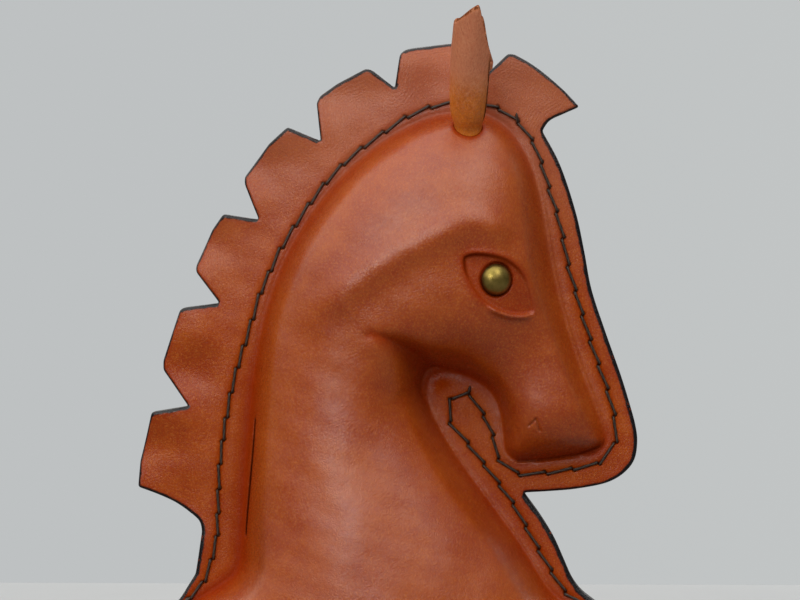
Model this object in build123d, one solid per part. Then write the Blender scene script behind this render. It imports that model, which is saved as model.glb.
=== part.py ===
from build123d import *
import math
import os
import numpy as np

# Moulded, saddle-stitched leather pony head on a flared foot, with ears and domed rivet eyes.
# Millimetres, +Z up, +X towards the nose; the two shells meet in the plane Y = 0, the right one at -Y.
# Origin: centre of the underside of the sole.

# ---------------------------------------------------------------- leather, foot and stitching
LEATHER = 3.0             # thickness of one shell
SOLE_THICK = 4.0
RIM_THICK = 3.0           # turned-out foot rim
RIM_HALF_X = 69.5         # half axes of the rim and sole ellipse
RIM_HALF_Y = 48.7
FOOT_TOP = SOLE_THICK + RIM_THICK

THREAD_RADIUS = 0.45
THREAD_SIDES = 6
THREAD_GAP = 0.12         # thread to leather
STRAND_OFFSET = 0.70      # strand to the centre of its slit
SLIT_ANGLE = 65.0         # awl slit to the stitch line, degrees
SLIT_LENGTH = 2.5
SLIT_WIDTH = 1.06
SLIT_OVERRUN = 1.0        # slit cutters pass the leather by this much
SEAM_END_DEPTH = 0.4      # seam thread ends this deep in the leather
SOLE_END_DROP = 1.6       # upper end of a sole strand, below its run on the rim
SOLE_END_Z = 1.9          # lower end of a sole strand

SOLE_STITCHES = 46
SOLE_STITCH_INSET = 3.0   # sole stitch line in from the rim edge
GROOVE_WIDTH = 2.6        # groove under the sole
GROOVE_DEPTH = 1.25

BOARD_THICK = 3.0         # foot board inside the shells
BOARD_LIFT = 0.02         # above the sole
BOARD_GAP = 0.8           # to the inner face
BOARD_SECTION_Z = 7.6     # height at which the inner face gives the board's outline
BOARD_MIN_HALF_Y = 2.0    # the outline stops where it is narrower than this
BOARD_POINT_STEP = 4      # one outline point per this many grid columns

# ---------------------------------------------------------------- ears
EAR_ROOT = (24.1, 157.1)          # X, Z where the axis meets the moulded surface
EAR_DIR = (0.05, -0.38, 0.924)    # right ear's axis, up and outwards
EAR_ROOT_RADIUS = 4.0
EAR_HOLE_RADIUS = 4.06
EAR_HOLE_SPAN = (-14.7, 9)        # along the ear axis
EAR_BOTTOM = -13.1
EAR_TIP_RISE = 0.25               # point above the last profile station
# outside: height above the moulded surface, radius
EAR_PROFILE = [(2.6, 4.0), (4.4, 5.0), (7.4, 5.6), (13.0, 5.95), (19.5, 5.8), (25.4, 5.1), (30.8, 4.3),
               (35.2, 3.1), (37.9, 1.6), (38.7, 0.5)]
# hollow: height, radius
EAR_HOLLOW = [(9.4, 0.0), (11.4, 1.8), (15.4, 3.2), (20.4, 3.4), (25.4, 2.7), (29.4, 1.9), (33.8, 0.6),
              (39.4, 0.5)]
# opening of the roll: height, half width (pointed at its foot)
EAR_SLOT = [(9.9, 0.0), (14.4, 1.4), (21.4, 1.9), (30.4, 1.5), (40.4, 0.9)]
EAR_SLOT_REACH = 12
KEEPER_RADIUS = 5.6
KEEPER_THICK = 1.6
KEEPER_BOTTOM = -12.6             # along the ear axis
KEEPER_GAP = 0.06

# ---------------------------------------------------------------- eyes (heights along the eye axis)
EYE_CENTRE = (32.7, 111.45)       # X, Z
EYE_NORMAL_STEP = 2.0             # half span for the surface slope
CAP_RADIUS = 4.7
CAP_HEIGHT = 3.3
CAP_RIM = 0.5                     # height of the cap's edge under the dome
CAP_CHAMFER = 0.25
CAP_SEAT_DEPTH = 0.55
CAP_SEAT_GAP = 0.15
SEAT_WEB = 2.15                   # leather between cap seat and base seat
SEAT_CLEARANCE = 0.03
BASE_SEAT_TOP = -CAP_SEAT_DEPTH - SEAT_WEB
BASE_SEAT_RADIUS = 4.3
BASE_RADIUS = 4.0
BASE_THICK = 0.9
BASE_OVERLAP = 0.2                # post runs this far into its base
POST_RADIUS = 1.5
POST_HOLE_GAP = 0.06
POST_SOCKET_GAP = 0.05
POST_SOCKET_SPAN = (-0.1, 1.7)    # from the cap's underside
POST_REACH = 1.5                  # post top above the cap's underside
CAP_BOTTOM = -CAP_SEAT_DEPTH + SEAT_CLEARANCE
BASE_TOP = BASE_SEAT_TOP - SEAT_CLEARANCE

# ---------------------------------------------------------------- outlines, all points X, Z
# moulded (raised) area; it runs straight down through the foot
DOME = [(-62.2, -9), (-62.2, -3), (-62.2, 1.5), (-62.0, 5.4), (-61.2, 8.7), (-59.3, 11.9),
        (-56.4, 14.6), (-52.6, 17.0), (-48.75, 19.6), (-45.45, 22.6), (-43.65, 26.4), (-43.05, 31.5),
        (-42.45, 45.0), (-41.55, 60.0), (-40.5, 70.5), (-39.15, 84.0), (-37.2, 96.0), (-34.4, 106.5),
        (-30.4, 117.2), (-25.6, 126.0), (-19.6, 134.9), (-12.3, 143.1), (-4.3, 150.0), (4.0, 155.4),
        (12.6, 159.2), (21.4, 160.7), (28.8, 160.1), (34.7, 156.7), (39.3, 151.2), (42.75, 144.0),
        (45.15, 135.0), (46.95, 124.5), (48.75, 114.0), (51.15, 103.5), (54.15, 93.0), (57.45, 83.4),
        (61.05, 74.4), (63.75, 66.6), (64.35, 62.7), (61.65, 60.0), (52.95, 58.8), (43.95, 57.9),
        (38.25, 57.6), (35.55, 60.0), (34.65, 66.0), (33.45, 73.5), (31.05, 78.0), (26.85, 81.3),
        (21.45, 83.6), (15.75, 84.2), (12.15, 82.5), (10.8, 78.6), (12.2, 72.5), (17.55, 62.3),
        (23.85, 52.9), (31.05, 43.2), (37.95, 33.7), (43.4, 25.2), (46.9, 19.4), (50.2, 15.6),
        (54.4, 12.4), (58.3, 9.6), (61.0, 6.0), (62.2, 1.5), (62.2, -3), (62.2, -9)]

# edge of the flat flange with its cut mane: straight runs and smooth runs
FLANGE = [
    ("straight", [(-60.6, 4.0), (-60.6, 8.8), (-68.9, 8.8)]),
    ("smooth", [(-68.9, 8.8), (-66.6, 11.9), (-62.9, 15.0), (-60.15, 19.2), (-57.9, 22.8)]),
    ("smooth", [(-57.9, 22.8), (-56.85, 29.4), (-55.95, 35.7)]),
    ("smooth", [(-55.95, 35.7), (-56.7, 38.55), (-59.85, 41.4), (-64.05, 44.25), (-68.85, 46.5),
                (-75.15, 48.9)]),
    ("straight", [(-75.15, 48.9), (-74.55, 56.7), (-70.95, 71.4), (-60.0, 73.2), (-67.65, 84.0),
                  (-67.65, 86.7), (-62.55, 102.0), (-61.35, 102.75), (-50.7, 104.1), (-57.75, 113.4),
                  (-57.75, 115.2), (-52.95, 126.0), (-49.5, 130.8), (-38.85, 129.15), (-43.2, 139.8),
                  (-43.2, 141.9), (-35.85, 151.8), (-30.15, 156.9), (-20.25, 152.7), (-21.6, 164.1),
                  (-20.55, 166.2), (-15.45, 169.8), (-6.75, 174.3), (-4.95, 174.0), (1.95, 168.6),
                  (3.45, 178.5)]),
    ("smooth", [(3.45, 178.5), (4.95, 179.85), (11.85, 181.05), (19.95, 181.95), (25.05, 181.95)]),
    ("straight", [(25.05, 181.95), (28.65, 171.9), (35.85, 178.8), (37.8, 178.65)]),
    ("smooth", [(37.8, 178.65), (43.65, 175.2), (52.35, 168.0), (57.15, 162.9)]),
    ("smooth", [(57.15, 162.9), (52.35, 160.8), (48.15, 158.7), (46.05, 155.7)]),
    ("smooth", [(46.05, 155.7), (51.15, 146.1), (56.25, 130.8), (58.65, 119.7), (60.75, 108.6),
                (64.95, 95.7), (69.75, 82.2), (72.15, 74.4), (73.95, 67.8), (74.55, 63.0), (73.65, 57.3),
                (70.95, 53.7), (66.15, 50.7), (56.55, 48.6), (48.45, 47.85), (40.65, 47.4)]),
    ("smooth", [(40.65, 47.4), (45.45, 40.8), (49.65, 33.9), (52.35, 27.9), (55.05, 21.9), (57.45, 18.6),
                (61.05, 15.6), (65.25, 12.6), (68.3, 8.8)]),
    ("straight", [(68.3, 8.8), (59.6, 8.8), (59.6, 4.0), (-60.6, 4.0)]),
]

# centres of the seam's awl slits, in sewing order
SEAM_HOLES = [
    (-64.4, 11.5), (-59.8, 15.4), (-55.4, 20.4), (-52.9, 27.2), (-51.4, 34.2), (-51.09, 40.89),
    (-50.94, 48.15), (-50.55, 55.62), (-49.65, 62.85), (-48.63, 69.6), (-47.22, 77.13), (-45.27, 84.63),
    (-43.2, 91.35), (-40.77, 99.09), (-38.43, 106.83), (-35.46, 113.55), (-32.1, 120.54),
    (-28.1, 127.1), (-23.5, 133.9), (-19.0, 139.9), (-13.7, 145.5), (-7.6, 150.7), (-1.2, 155.3),
    (5.46, 159.8), (12.51, 162.7), (19.4, 164.1), (26.3, 164.1), (33.0, 162.3), (38.9, 158.3),
    (43.11, 152.6), (45.9, 145.8), (48.1, 138.4), (50.4, 131.22), (52.3, 123.45), (53.85, 115.3),
    (56.04, 107.7), (58.17, 100.5), (60.51, 92.94), (62.97, 85.65), (65.6, 78.21), (67.7, 70.44),
    (68.0, 62.4), (62.9, 56.2), (55.2, 54.5), (47.22, 53.4), (39.1, 53.0), (33.0, 57.5),
    (31.4, 64.3), (28.6, 70.6), (24.2, 76.9), (18.85, 75.45), (18.5, 68.45), (24.0, 62.0),
    (28.71, 55.92), (33.33, 49.92), (37.5, 44.01), (41.3, 37.3), (45.1, 30.4), (48.9, 23.8),
    (53.0, 17.6), (58.6, 13.9), (64.2, 11.3)]
# where the stitch line bends sharply: hole index -> slit angle, hole index -> strand offset
BEND_ANGLES = {40: 60.0, 41: 105.0, 42: 105.0, 43: 55.0, 44: 55.0, 45: 75.0, 46: 75.0, 49: 94.0,
               50: 92.0, 51: 91.0, 52: 72.0}
BEND_OFFSETS = {49: 0.75, 50: 0.74, 51: 0.60, 52: 0.68}

CREASE = [(-4.0, 95.4), (-1.0, 94.6), (2.5, 92.9), (6.0, 90.6), (9.5, 87.8), (12.4, 85.0), (14.2, 82.4)]
BROW = [(-27, 95), (-19, 102.5), (-11.5, 109.0), (-2, 115.5), (8, 121.2), (16, 125.0), (23, 128.0),
        (31, 127.4), (38.5, 123.5)]
NOSE = [(37, 122.5), (42, 117.5), (45.3, 108.5), (48.6, 98.5), (52.0, 89.0), (55.5, 81.0), (58.5, 74.5)]
EYE_SOCKET = [(23.25, 117.9), (25.05, 118.86), (27.75, 119.04), (31.95, 118.5), (35.55, 117.36),
              (38.85, 114.9), (41.13, 111.75), (42.45, 108.3), (42.99, 105.6), (43.35, 101.7),
              (40.65, 100.8), (37.17, 101.1), (33.75, 102.15), (30.27, 104.1), (27.36, 106.65),
              (25.11, 110.1), (23.4, 114.3)]

# slit low on the neck, in the right shell only
NECK_SLIT = [(-39.57, 70.95), (-39.87, 66.0), (-40.47, 58.5), (-41.25, 50.4), (-41.85, 43.5),
             (-42.39, 37.5), (-42.6, 33.0)]
NECK_SLIT_WIDTH = 0.5
NECK_SLIT_END = 0.12      # half width at both ends
NECK_SLIT_TAPER = 0.08    # half width gained per point from the ends
NECK_SLIT_STEP = 6.0
NECK_SLIT_Y = (-40, -LEATHER - 0.6)

# round bumps and hollows: centre X, Z, stretch of the X and Z distances, width, height
MUZZLE_BULGE = ((50, 66), (0.9, 1.0), 14, 2.4)
NOSE_HOLLOW = ((40, 93), (0.9, 0.55), 8, -1.6)
CREASE_HOLLOW = ((9, 74), (0.8, 0.5), 9, -2.0)

# ---------------------------------------------------------------- grids
MEMBRANE_CELL = 1.0
MEMBRANE_X = (-80.0, 80.0)
MEMBRANE_Z = (-8.0, 172.0)
MEMBRANE_SWEEPS = 700
MEMBRANE_RELAX = 1.94     # over-relaxation factor
STRAIGHT_Z = -3           # below this the membrane repeats downwards
EDGE_BAND = 1.6           # nearer the edge than this, the slope is extrapolated
fine_x = np.arange(-80.0, 80.1, 1.0)      # 1 mm height grid
fine_z = np.arange(-8.0, 174.1, 1.0)
SAMPLE_STEP = 3.0                         # points the surfaces are fitted to
sample_x = np.arange(-78.0, 78.1, SAMPLE_STEP)
sample_z = np.arange(-4.0, 170.1, SAMPLE_STEP)
SURFACE_FLOOR = -12.0     # lowest height outside the moulded area
BLOCK_DEPTH = 130         # surfaces are extruded this far towards +Y
DOME_CLIP = ((-79, -75, SOLE_THICK), (79, 0, 171))


# ---------------------------------------------------------------- plane curve helpers
def mix(a, b, t_a, t_b, t):
    """Value at t on the straight line through a at t_a and b at t_b."""
    return (t_b - t) / (t_b - t_a) * a + (t - t_a) / (t_b - t_a) * b


def smooth_line(points, closed, step):
    """Centripetal Catmull-Rom curve through the points, as a fine polyline."""
    pts = np.array(points, float)
    count = len(pts)
    line = []
    for i in range(count if closed else count - 1):
        if closed:
            p0, p1, p2, p3 = (pts[(i + k) % count] for k in (-1, 0, 1, 2))
        else:
            p1, p2 = pts[i], pts[i + 1]
            p0 = pts[i - 1] if i > 0 else 2 * p1 - p2
            p3 = pts[i + 2] if i + 2 < count else 2 * p2 - p1
        pieces = max(1, int(math.ceil(np.hypot(*(p2 - p1)) / step)))
        t1 = max(1e-6, np.hypot(*(p1 - p0))) ** 0.5
        t2 = t1 + max(1e-6, np.hypot(*(p2 - p1))) ** 0.5
        t3 = t2 + max(1e-6, np.hypot(*(p3 - p2))) ** 0.5
        for k in range(pieces):
            t = t1 + (t2 - t1) * k / pieces
            a1 = mix(p0, p1, 0, t1, t)
            a2 = mix(p1, p2, t1, t2, t)
            a3 = mix(p2, p3, t2, t3, t)
            line.append(mix(mix(a1, a2, 0, t2, t), mix(a2, a3, t1, t3, t), t1, t2, t))
    if not closed:
        line.append(pts[-1])
    return np.array(line)


def measure_line(x, z, line, closed, chunk=4000):
    """For each point: distance to the line, side of it, fraction along it, inside (if closed)."""
    start = line if closed else line[:-1]
    end = np.roll(line, -1, axis=0) if closed else line[1:]
    step = end - start
    square = (step ** 2).sum(1) + 1e-12
    length = np.sqrt(square)
    run = np.concatenate([[0], np.cumsum(length)])
    flat_x, flat_z = x.ravel(), z.ravel()
    count = len(flat_x)
    distance, side, along = np.empty(count), np.empty(count), np.empty(count)
    inside = np.zeros(count, bool)
    for i in range(0, count, chunk):
        part = slice(i, i + chunk)
        px, pz = flat_x[part, None], flat_z[part, None]
        rel_x, rel_z = px - start[:, 0], pz - start[:, 1]
        t = np.clip((rel_x * step[:, 0] + rel_z * step[:, 1]) / square, 0, 1)
        gap = (rel_x - t * step[:, 0]) ** 2 + (rel_z - t * step[:, 1]) ** 2
        k = gap.argmin(1)
        row = np.arange(len(k))
        distance[part] = np.sqrt(gap[row, k])
        side[part] = np.sign(step[k, 0] * rel_z[row, k] - step[k, 1] * rel_x[row, k])
        along[part] = (run[k] + t[row, k] * length[k]) / run[-1]
        if closed:
            crosses = (start[:, 1] > pz) != (end[:, 1] > pz)
            with np.errstate(divide="ignore", invalid="ignore"):
                cross_x = start[:, 0] + (pz - start[:, 1]) / step[:, 1] * step[:, 0]
            inside[part] = (np.sum(crosses & (px < cross_x), axis=1) % 2) == 1
    return tuple(a.reshape(x.shape) for a in (distance, side, along, inside))


def depth_inside(x, z, loop):
    """Distance to a closed loop, positive inside it."""
    distance, _, _, inside = measure_line(x, z, loop, True)
    return np.where(inside, distance, -distance)


def ramp(a, b, x):
    """Smooth step from 0 at a to 1 at b."""
    t = np.clip((x - a) / (b - a), 0, 1)
    return t * t * (3 - 2 * t)


def soft_min(a, b, blend):
    h = np.clip(0.5 + 0.5 * (b - a) / blend, 0, 1)
    return b + (a - b) * h - blend * h * (1 - h)


def bell(distance, width):
    return np.exp(-(distance / width) ** 2)


def round_bump(x, z, bump):
    centre, stretch, width, height = bump
    return height * bell(np.hypot((x - centre[0]) * stretch[0], (z - centre[1]) * stretch[1]), width)


def neighbour_sum(grid):
    return grid[2:, 1:-1] + grid[:-2, 1:-1] + grid[1:-1, 2:] + grid[1:-1, :-2]


def soften(grid):
    """Two rounds of averaging with the neighbours, in place."""
    for _ in range(2):
        grid[1:-1, 1:-1] = 0.5 * grid[1:-1, 1:-1] + 0.125 * neighbour_sum(grid)


# ---------------------------------------------------------------- the moulded surface
# A membrane blown up over the outline gives the round body (u of the Poisson problem, height ~ sqrt(2u));
# ridges, the jaw crease and the eye socket are added to it.
dome_loop = smooth_line(DOME, True, 0.6)
socket_loop = smooth_line(EYE_SOCKET, True, 1.0)
brow_line, nose_line, crease_line = (smooth_line(p, False, 1.2) for p in (BROW, NOSE, CREASE))


def solve_membrane():
    """Membrane u on its grid, and u / depth, which stays smooth up to the edge."""
    cell = MEMBRANE_CELL
    x, z = np.meshgrid(np.arange(MEMBRANE_X[0], MEMBRANE_X[1] + 0.5 * cell, cell),
                       np.arange(MEMBRANE_Z[0], MEMBRANE_Z[1] + 0.5 * cell, cell), indexing="ij")
    depth = depth_inside(x, z, dome_loop)
    inside = depth > 0
    u = np.where(inside, depth * 20, 0.0)
    even = np.indices(u.shape).sum(0) % 2 == 0
    straight = int(round((STRAIGHT_Z - MEMBRANE_Z[0]) / cell))
    for _ in range(MEMBRANE_SWEEPS):
        for cells in (even & inside, ~even & inside):
            target = np.zeros_like(u)
            target[1:-1, 1:-1] = 0.25 * neighbour_sum(u) + 0.25 * cell * cell
            u = np.where(cells, u + MEMBRANE_RELAX * (target - u), u)
        u[:, :straight] = u[:, straight:straight + 1]
    # spread u / depth outwards from the cells well inside the edge
    slope = np.zeros_like(u)
    known = depth > EDGE_BAND
    slope[known] = u[known] / depth[known]
    for _ in range(40):
        total, count = np.zeros_like(slope), np.zeros_like(slope)
        for dx in (-1, 0, 1):
            for dz in (-1, 0, 1):
                if dx or dz:
                    total += np.roll(np.where(known, slope, 0), (dx, dz), (0, 1))
                    count += np.roll(known, (dx, dz), (0, 1))
        new = (~known) & (count > 0)
        slope[new] = total[new] / count[new]
        known |= new
    soften(slope)
    return u, slope


membrane, edge_slope = solve_membrane()


def cubic_weights(t):
    return [(-t + 2 * t * t - t ** 3) / 2, (2 - 5 * t * t + 3 * t ** 3) / 2,
            (t + 4 * t * t - 3 * t ** 3) / 2, (-t * t + t ** 3) / 2]


def bicubic(grid, x, z):
    """Value of a membrane grid between its nodes."""
    cell_x, cell_z = (x - MEMBRANE_X[0]) / MEMBRANE_CELL, (z - MEMBRANE_Z[0]) / MEMBRANE_CELL
    ix = np.clip(np.floor(cell_x).astype(int), 1, grid.shape[0] - 3)
    iz = np.clip(np.floor(cell_z).astype(int), 1, grid.shape[1] - 3)
    weights_x = cubic_weights(np.clip(cell_x - ix, -0.5, 1.5))
    weights_z = cubic_weights(np.clip(cell_z - iz, -0.5, 1.5))
    value = 0
    for i in range(4):
        for j in range(4):
            value = value + weights_x[i] * weights_z[j] * grid[ix + i - 1, iz + j - 1]
    return value


def dome_height(x, z):
    """Height of the moulded surface above the flange face; negative outside the moulded area."""
    depth = depth_inside(x, z, dome_loop)
    z_held = np.maximum(z, -2.5)
    slope, u = bicubic(edge_slope, x, z_held), bicubic(membrane, x, z_held)
    inner = ramp(2.5, 6.0, depth)
    body = np.sqrt(2 * np.maximum(slope * np.maximum(depth, 0) * (1 - inner) + u * inner, 0))
    # the head is a little fuller than the neck, and flattened above 21 mm
    head = ramp(-18, 12, x * 0.62 + (z - 92) * 0.78)
    height = (0.84 + 0.08 * head) * body
    excess = np.maximum(height - 21, 0)
    height = height - 0.9 * excess ** 2 / (12 + excess) * 0.55 * head
    height = height + round_bump(x, z, MUZZLE_BULGE) * ramp(0, 6, depth)
    # flare towards the foot
    height = height + 5.5 * np.clip((14 - z) / 10, 0, 1) ** 1.6 * ramp(0, 8, depth)
    # brow ridge
    away, _, along, _ = measure_line(x, z, brow_line, False)
    fade = ramp(0.0, 0.25, along) * (1 - 0.5 * ramp(0.9, 1.0, along))
    height = height + 1.5 * bell(away, 5.0) * fade * ramp(2, 9, depth)
    # nose ridge and the hollow beside it
    away, _, along, _ = measure_line(x, z, nose_line, False)
    height = height + 1.1 * bell(away, 3.4) * ramp(0, 0.15, along) * ramp(1.0, 4, depth)
    height = height + round_bump(x, z, NOSE_HOLLOW)
    # jaw crease, deepening and widening along its length, and the hollow below it
    away, side, along, _ = measure_line(x, z, crease_line, False)
    width = np.where(side > 0, 1.6 + 2.2 * along, 2.2 + 5.5 * along)
    height = height - (0.5 + 10.5 * ramp(0.05, 1.0, along)) * bell(away, width)
    height = height + round_bump(x, z, CREASE_HOLLOW)
    # steep side wall at the edge
    wall = 3.0 * depth
    height = np.where(depth > 0, soft_min(np.maximum(height, 0.0), wall, 2.5), wall)
    socket = depth_inside(x, z, socket_loop)
    return height - (1.3 * ramp(-0.6, 1.0, socket) + 0.4 * ramp(1.0, 4.5, socket))


def height_at(x, z):
    return float(dome_height(np.array([[x]]), np.array([[z]]))[0, 0])


def surface_point(x, z):
    """Point on the outer face of the right shell."""
    return np.array([x, -(LEATHER + height_at(x, z)), z])


def surface_normal(x, z, step):
    """Outward normal of the right shell."""
    slope_x = (height_at(x + step, z) - height_at(x - step, z)) / (2 * step)
    slope_z = (height_at(x, z + step) - height_at(x, z - step)) / (2 * step)
    normal = np.array([-slope_x, -1.0, -slope_z])
    return normal / np.linalg.norm(normal)


def erode(heights):
    """Inner face: the outer face moved in by a ball of the leather's thickness, then softened."""
    inner = np.full_like(heights, 1e9)
    for dx in range(-3, 4):
        for dz in range(-3, 4):
            rest = LEATHER * LEATHER - dx * dx - dz * dz
            if rest >= 0:
                moved = np.roll(heights, (dx, dz), (0, 1)) + LEATHER - math.sqrt(rest)
                inner = np.minimum(inner, moved)
    soften(inner)
    return inner


outer_heights = np.clip(dome_height(*np.meshgrid(fine_x, fine_z, indexing="ij")), SURFACE_FLOOR, None)
inner_heights = erode(outer_heights)


# ---------------------------------------------------------------- solid helpers
def one(shape):
    """Largest solid of a boolean's result."""
    return max(shape.solids(), key=lambda s: s.volume)


def common(shape, tool):
    """Intersection; its largest piece where it comes back as a list."""
    result = shape.intersect(tool)
    return max(result, key=lambda s: s.volume) if isinstance(result, list) else result


def under(heights, base):
    """Solid from the surface y = -(base + height) towards +Y."""
    ix = np.rint(sample_x - fine_x[0]).astype(int)
    iz = np.rint(sample_z - fine_z[0]).astype(int)
    points = [[(float(x), -float(base + heights[i, j]), float(z)) for x, i in zip(sample_x, ix)]
              for z, j in zip(sample_z, iz)]
    face = Face.make_surface_from_array_of_points(points, tol=0.02, min_deg=3, max_deg=5)
    return Solid.extrude(face, Vector(0, BLOCK_DEPTH, 0))


def prism_xz(edges, y0, y1):
    return Solid.extrude(Face(Wire(edges)), Vector(0, y1 - y0, 0)).moved(Location((0, y0, 0)))


def box(low, high):
    return Solid.make_box(*(b - a for a, b in zip(low, high))).moved(Location(low))


def lines(points):
    return [Edge.make_line(a, b) for a, b in zip(points[:-1], points[1:])]


def closed_lines(points):
    return lines(points + points[:1])


def revolved(edges):
    return Solid.revolve(Face(Wire(edges)), 360.0, Axis.Z)


def cylinder(radius, z0, z1):
    return Solid.make_cylinder(radius, z1 - z0).moved(Location((0, 0, z0)))


def unit_rows(rows):
    return rows / np.linalg.norm(rows, axis=1, keepdims=True)


def axis_location(point, direction):
    """Frame with Z along direction and X as near world X as it can be."""
    across = np.array([1.0, 0.0, 0.0])
    across -= direction * float(np.dot(across, direction))
    across /= np.linalg.norm(across)
    return Location(Plane(origin=tuple(map(float, point)), x_dir=tuple(map(float, across)),
                          z_dir=tuple(map(float, direction))))


def rim_solid(offset, z0, z1):
    """Rim ellipse, grown by offset, between two heights."""
    ellipse = Edge.make_ellipse(RIM_HALF_X + offset, RIM_HALF_Y + offset, plane=Plane(origin=(0, 0, z0)))
    return Solid.extrude(Face(Wire([ellipse])), Vector(0, 0, z1 - z0))


# ---------------------------------------------------------------- stitch holes
def rotate(directions, degrees):
    cos, sin = np.cos(np.radians(degrees)), np.sin(np.radians(degrees))
    a, b = directions[:, 0], directions[:, 1]
    return np.stack([a * cos - b * sin, a * sin + b * cos], 1)


def seam_stitches():
    """Hole centres and slit directions of the seam, as X, Z."""
    centres = np.array(SEAM_HOLES, float)
    chords = unit_rows(centres[1:] - centres[:-1])
    tangents = unit_rows(np.vstack([chords[:1], chords[1:] + chords[:-1], chords[-1:]]))
    return centres, rotate(tangents, [BEND_ANGLES.get(i, SLIT_ANGLE) for i in range(len(centres))])


def sole_stitches():
    """Evenly spaced hole centres and slit directions round the sole, as X, Y."""
    angles = np.linspace(0, 2 * math.pi, 4001)
    path = np.stack([(RIM_HALF_X - SOLE_STITCH_INSET) * np.cos(angles),
                     (RIM_HALF_Y - SOLE_STITCH_INSET) * np.sin(angles)], 1)
    run = np.concatenate([[0], np.cumsum(np.linalg.norm(np.diff(path, axis=0), axis=1))])
    places = (np.arange(SOLE_STITCHES) + 0.5) / SOLE_STITCHES * run[-1]

    def along(distance):
        return np.stack([np.interp(distance, run, path[:, k]) for k in (0, 1)], 1)

    return along(places), rotate(unit_rows(along(places + 0.5) - along(places - 0.5)), SLIT_ANGLE)


def slit_box(origin, direction, through, length):
    """Awl slit cutter from origin, length long in the direction through."""
    cutter = Solid.make_box(SLIT_LENGTH, SLIT_WIDTH, length)
    cutter = cutter.moved(Location((-SLIT_LENGTH / 2, -SLIT_WIDTH / 2, 0)))
    return cutter.moved(Location(Plane(origin=origin, x_dir=direction, z_dir=through)))


seam_centres, seam_slits = seam_stitches()
sole_centres, sole_slits = sole_stitches()
seam_cutters = [slit_box((c[0], -LEATHER - SLIT_OVERRUN, c[1]), (d[0], 0, d[1]), (0, 1, 0),
                         LEATHER + 2 * SLIT_OVERRUN) for c, d in zip(seam_centres, seam_slits)]
sole_cutters = [slit_box((c[0], c[1], -SLIT_OVERRUN), (d[0], d[1], 0), (0, 0, 1),
                         FOOT_TOP + 2 * SLIT_OVERRUN) for c, d in zip(sole_centres, sole_slits)]

# ---------------------------------------------------------------- shells
ear_direction = np.array(EAR_DIR) / np.linalg.norm(EAR_DIR)
ear_place = axis_location(surface_point(*EAR_ROOT), ear_direction)
eye_place = axis_location(surface_point(*EYE_CENTRE), surface_normal(*EYE_CENTRE, EYE_NORMAL_STEP))


def flange_plate():
    edges = []
    for kind, points in FLANGE:
        vectors = [Vector(x, 0, z) for x, z in points]
        edges += lines(vectors) if kind == "straight" else [Edge.make_spline(vectors)]
    return prism_xz(edges, -LEATHER, 0.0).cut(*seam_cutters)


def plain_shell():
    """Right shell with ear and eye holes, before the neck slit and the rim's stitch holes."""
    plate = flange_plate()
    dome = common(under(outer_heights, LEATHER), box(*DOME_CLIP))
    rim = common(rim_solid(0.0, SOLE_THICK, FOOT_TOP), box((-90, -80, 0), (90, 0, 20)))
    shell = one(Part() + [dome, plate, rim])
    shell = one(shell.cut(under(inner_heights, 0.0)))
    shell = one(shell.cut(cylinder(EAR_HOLE_RADIUS, *EAR_HOLE_SPAN).moved(ear_place)))
    eye_cutters = [cylinder(CAP_RADIUS + CAP_SEAT_GAP, -CAP_SEAT_DEPTH, 6),
                   cylinder(POST_RADIUS + POST_HOLE_GAP, -7, 6),
                   cylinder(BASE_SEAT_RADIUS, -12, BASE_SEAT_TOP)]
    return one(shell.cut(*[c.moved(eye_place) for c in eye_cutters]))


def neck_slit():
    """Narrow cutter along the neck slit, tapering at both ends."""
    line = smooth_line(NECK_SLIT, False, NECK_SLIT_STEP)
    tangents = unit_rows(np.gradient(line, axis=0))
    normals = np.stack([-tangents[:, 1], tangents[:, 0]], 1)
    index = np.arange(len(line))
    half = np.minimum(NECK_SLIT_WIDTH / 2, NECK_SLIT_END + NECK_SLIT_TAPER * np.minimum(index, index[::-1]))
    sides = normals * half[:, None]
    ring = [Vector(x, 0, z) for x, z in np.concatenate([line + sides, (line - sides)[::-1]])]
    return prism_xz(closed_lines(ring), *NECK_SLIT_Y)


def make_panels():
    """Right and left shells, each with its own half of the rim's stitch holes."""
    shell = plain_shell()
    right = one(shell.cut(neck_slit()))
    left = shell.mirror(Plane.XZ)
    right_cutters = [s for s, c in zip(sole_cutters, sole_centres) if c[1] < 0]
    left_cutters = [s for s, c in zip(sole_cutters, sole_centres) if c[1] > 0]
    return one(right.cut(*right_cutters)), one(left.cut(*left_cutters))


# ---------------------------------------------------------------- sole and foot board
def make_sole():
    groove_outer = rim_solid(-SOLE_STITCH_INSET + GROOVE_WIDTH / 2, -1.0, GROOVE_DEPTH)
    groove_inner = rim_solid(-SOLE_STITCH_INSET - GROOVE_WIDTH / 2, -2.0, GROOVE_DEPTH + 1)
    sole = one(rim_solid(0.0, 0.0, SOLE_THICK).cut(one(groove_outer.cut(groove_inner))))
    return one(sole.cut(*sole_cutters))


def make_foot_board():
    """Board that follows the shells' inner face."""
    row = BOARD_SECTION_Z - fine_z[0]
    j = int(math.floor(row))
    t = row - j
    half_y = (1 - t) * inner_heights[:, j] + t * inner_heights[:, j + 1] - BOARD_GAP
    points = [(float(x), float(y)) for x, y in zip(fine_x, half_y) if y > BOARD_MIN_HALF_Y]
    last = [points[-1]] if (len(points) - 1) % BOARD_POINT_STEP else []
    points = points[::BOARD_POINT_STEP] + last
    left = [Vector(x, y, 0) for x, y in points]
    right = [Vector(x, -y, 0) for x, y in points]
    outline = Wire([Edge.make_spline(left), Edge.make_line(left[-1], right[-1]),
                    Edge.make_spline(right[::-1]), Edge.make_line(right[0], left[0])])
    board = Solid.extrude(Face(outline), Vector(0, 0, BOARD_THICK))
    return board.moved(Location((0, 0, SOLE_THICK + BOARD_LIFT)))


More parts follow.
